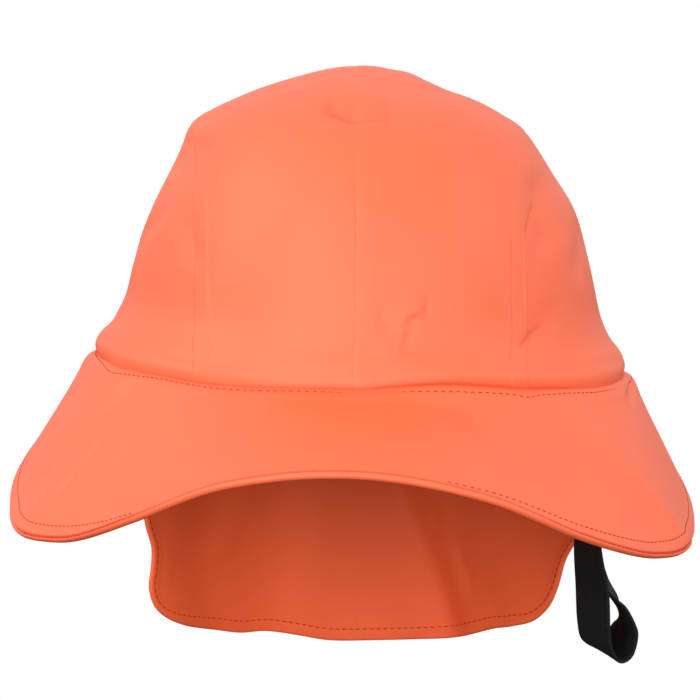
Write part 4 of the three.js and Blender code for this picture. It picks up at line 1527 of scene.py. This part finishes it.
def make_floor(material):
    """A round floor whose far edge curves up all round, like a studio's backdrop."""
    angles = np.linspace(0, math.pi / 2, FLOOR_CURVE_STEPS)
    radii = np.concatenate([FLOOR_FLAT_RINGS, FLOOR_RADIUS + FLOOR_RISE * np.sin(angles)])
    level = np.zeros(len(FLOOR_FLAT_RINGS))
    heights = np.concatenate([level, FLOOR_RISE * (1 - np.cos(angles))]) - FLOOR_DROP
    around = np.linspace(0, 2 * math.pi, FLOOR_SIDES, endpoint=False)
    rings = [(r * math.cos(a), r * math.sin(a), h) for r, h in zip(radii, heights) for a in around]
    faces = [(0, 1 + j, 1 + (j + 1) % FLOOR_SIDES) for j in range(FLOOR_SIDES)]
    for first in range(1, len(rings) - FLOOR_SIDES, FLOOR_SIDES):
        second = first + FLOOR_SIDES
        for j in range(FLOOR_SIDES):
            k = (j + 1) % FLOOR_SIDES
            faces.append((first + j, second + j, second + k, first + k))
    mesh = bpy.data.meshes.new("floor")
    mesh.from_pydata([(0, 0, -FLOOR_DROP), *rings], [], faces, shade_flat=False)
    mesh.materials.append(material)
    floor = new_object("floor", mesh)
    floor.visible_diffuse = False
    floor.visible_glossy = False


def make_light(name, azimuth, elevation, watts):
    """A round soft light that faces the hat from the given angles in degrees."""
    turn, rise = math.radians(azimuth), math.radians(elevation)
    away = Vector((math.sin(turn) * math.cos(rise), -math.cos(turn) * math.cos(rise), math.sin(rise)))
    light = bpy.data.lights.new(name, "AREA")
    light.shape = "DISK"
    light.size = LIGHT_SIZE
    light.energy = watts
    lamp = new_object(name, light)
    lamp.location = away * LIGHT_DISTANCE
    lamp.rotation_euler = (-away).to_track_quat("-Z", "Y").to_euler()


def make_camera():
    """The camera stands a little above the brim in front of the hat and leans by the roll."""
    elevation, roll = math.radians(CAMERA_ELEVATION), math.radians(CAMERA_ROLL)
    back = Vector((0, -math.cos(elevation), math.sin(elevation)))
    up = Vector((0, math.sin(elevation), math.cos(elevation)))
    right = Vector((1, 0, 0))
    leaning_right = right * math.cos(roll) + up * math.sin(roll)
    leaning_up = up * math.cos(roll) - right * math.sin(roll)
    camera = bpy.data.cameras.new("camera")
    camera.sensor_width = SENSOR_WIDTH
    camera.lens = FOCAL_PIXELS / FRAME_PIXELS * SENSOR_WIDTH
    camera.clip_start, camera.clip_end = CAMERA_CLIP
    view = new_object("camera", camera)
    axes = Matrix((leaning_right, leaning_up, back)).transposed().to_4x4()
    view.matrix_world = Matrix.Translation(CAMERA_TARGET + back * CAMERA_DISTANCE) @ axes
    bpy.context.scene.camera = view


def make_world(above, below):
    """Even white light from all round, of one strength above the horizon and another below, and a
    plain white surround for the camera."""
    world = bpy.data.worlds.new("studio")
    world.use_nodes = True
    nodes = Nodes(world.node_tree)
    background = world.node_tree.nodes["Background"]
    background.inputs["Color"].default_value = (1, 1, 1, 1)
    direction = nodes.add("ShaderNodeTexCoord").outputs["Generated"]
    rise = nodes.add("ShaderNodeSeparateXYZ", {0: direction}).outputs["Z"]
    values = {"Value": rise, "From Min": -HORIZON, "From Max": HORIZON, "To Min": below, "To Max": above}
    strength = nodes.add("ShaderNodeMapRange", values).outputs[0]
    seen = nodes.add("ShaderNodeLightPath").outputs["Is Camera Ray"]
    nodes.set(background, "Strength", nodes.math("MAXIMUM", strength, seen))
    bpy.context.scene.world = world


def number(name, description, default, least, most, **more):
    return FloatProperty(name=name, description=description, default=default, min=least, max=most, **more)


def fine_length(name, description, default, least, most):
    return number(name, description, default, least, most, unit="LENGTH", precision=5)


def colour_property(name, description, default):
    return FloatVectorProperty(name=name, description=description, default=default, subtype="COLOR",
                               size=3, min=0, max=1)


class HatCloth(bpy.types.PropertyGroup):
    """Colours and finish of the coated cloth"""

    crown_colour: colour_property("Crown colour", "Colour of the crown's cloth", SLOT_COLOURS["crown_cloth"])
    brim_colour: colour_property("Brim colour", "Colour of the brim's cloth", SLOT_COLOURS["brim_cloth"])
    inner_colour: colour_property("Inner colour", "Colour of the cloth's inner face", (0.93, 0.128, 0.034))
    roughness: number("Roughness", "Roughness of the coating", 0.5, 0.1, 1)
    inner_roughness: number("Inner roughness", "Roughness of the cloth's inner face", 0.6, 0.1, 1)
    gloss: number("Gloss", "Strength of the coating's reflection", 0.56, 0, 1)
    inner_gloss: number("Inner gloss", "Strength of the inner face's reflection", 0.28, 0, 1)
    relief: fine_length("Fine relief", "Height of the crumple and grain", 0.00022, 0, 0.002)


class HatSewing(bpy.types.PropertyGroup):
    """Sizes and colour of the stitches"""

    thread_colour: colour_property("Thread colour", "Colour of the sewing thread", SLOT_COLOURS["thread"])
    stitch_length: fine_length("Stitch length", "Length of each stitch that shows", 0.0017, 0.0005, 0.01)
    stitch_gap: fine_length("Stitch gap", "Gap between one stitch and the next", 0.0008, 0.0001, 0.01)
    thread_radius: fine_length("Thread radius", "Half the thread's thickness", 0.00015, 0.00005, 0.001)


class HatStrap(bpy.types.PropertyGroup):
    """Colour and ribs of the webbing"""

    colour: colour_property("Webbing colour", "Colour of the webbing", SLOT_COLOURS["webbing"])
    rib_height: fine_length("Rib height", "Height of the ribs along the webbing", 0.00002, 0, 0.001)


class HatStage(bpy.types.PropertyGroup):
    """Floor and light"""

    floor_colour: colour_property("Floor colour", "Colour of the floor", (0.93, 0.93, 0.93))
    light_power: number("Light power", "Power of a light whose share is 1", 20, 0, 2000, unit="POWER")
    light_above: number("Light from above", "Strength of the even light from above", 0.84, 0, 5)
    light_below: number("Light from below", "Strength of the even light from below", 0.1, 0, 5)


class RAINHAT_OT_crown(bpy.types.Operator):
    """Adds the four cloth panels of the crown"""

    bl_idname = "rainhat.crown"
    bl_label = "Add Crown"

    def execute(self, context):
        cloth = context.scene.rainhat_cloth
        materials = both_faces("Coral crown cloth", cloth.crown_colour, cloth)
        seams = crown_seam_lines()
        for side, end in ((1, "left"), (-1, "right")):
            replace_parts(make_centre_panel(side, seams, materials), f"crown_centre_{end}")
            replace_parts(make_side_panel(side, seams, materials), f"crown_side_{end}")
        return {"FINISHED"}


class RAINHAT_OT_brim(bpy.types.Operator):
    """Adds the brim with its turned hem"""

    bl_idname = "rainhat.brim"
    bl_label = "Add Brim"

    def execute(self, context):
        cloth = context.scene.rainhat_cloth
        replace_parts(make_brim(both_faces("Coral brim cloth", cloth.brim_colour, cloth)), "brim")
        return {"FINISHED"}


class RAINHAT_OT_stitches(bpy.types.Operator):
    """Adds the rows of stitches on the brim"""

    bl_idname = "rainhat.stitches"
    bl_label = "Add Stitches"

    def execute(self, context):
        sewing = context.scene.rainhat_sewing
        make_stitches(thread_material(sewing.thread_colour), sewing)
        return {"FINISHED"}


class RAINHAT_OT_strap(bpy.types.Operator):
    """Adds the loop of webbing at the wearer's left ear"""

    bl_idname = "rainhat.strap"
    bl_label = "Add Webbing Loop"

    def execute(self, context):
        strap = context.scene.rainhat_strap
        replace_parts(make_strap(webbing_material(strap.colour), strap), "chin_strap")
        return {"FINISHED"}


class RAINHAT_OT_stage(bpy.types.Operator):
    """Adds the floor, the lights and the camera"""

    bl_idname = "rainhat.stage"
    bl_label = "Add Stage"

    def execute(self, context):
        stage = context.scene.rainhat_stage
        make_floor(stage_material(stage.floor_colour))
        make_world(stage.light_above, stage.light_below)
        for i, (azimuth, elevation, share) in enumerate(zip(*LIGHTS.values())):
            make_light(f"soft_light_{i + 1}", azimuth, elevation, share * stage.light_power)
        make_camera()
        context.scene.view_settings.view_transform = "Standard"
        return {"FINISHED"}


class VIEW3D_PT_rain_hat(bpy.types.Panel):
    """Lists the settings and the steps"""

    bl_label = "Rain Hat"
    bl_space_type = "VIEW_3D"
    bl_region_type = "UI"
    bl_category = "Rain Hat"

    def draw(self, context):
        scene = context.scene
        for settings, operators in (
            (scene.rainhat_cloth, ("rainhat.crown", "rainhat.brim")),
            (scene.rainhat_sewing, ("rainhat.stitches",)),
            (scene.rainhat_strap, ("rainhat.strap",)),
            (scene.rainhat_stage, ("rainhat.stage",)),
        ):
            box = self.layout.box()
            for name in settings.__annotations__:
                box.prop(settings, name)
            for operator in operators:
                box.operator(operator)


GROUPS = {
    "rainhat_cloth": HatCloth,
    "rainhat_sewing": HatSewing,
    "rainhat_strap": HatStrap,
    "rainhat_stage": HatStage,
}
OPERATORS = (RAINHAT_OT_crown, RAINHAT_OT_brim, RAINHAT_OT_stitches, RAINHAT_OT_strap, RAINHAT_OT_stage)


def register():
    for cls in (*GROUPS.values(), *OPERATORS, VIEW3D_PT_rain_hat):
        bpy.utils.register_class(cls)
    for name, cls in GROUPS.items():
        setattr(bpy.types.Scene, name, PointerProperty(type=cls))


def unregister():
    for name in GROUPS:
        delattr(bpy.types.Scene, name)
    for cls in reversed((*GROUPS.values(), *OPERATORS, VIEW3D_PT_rain_hat)):
        bpy.utils.unregister_class(cls)


def main():
    register()
    bpy.ops.rainhat.stage()
    bpy.ops.rainhat.crown()
    bpy.ops.rainhat.brim()
    bpy.ops.rainhat.stitches()
    bpy.ops.rainhat.strap()


if __name__ == "__main__":
    main()
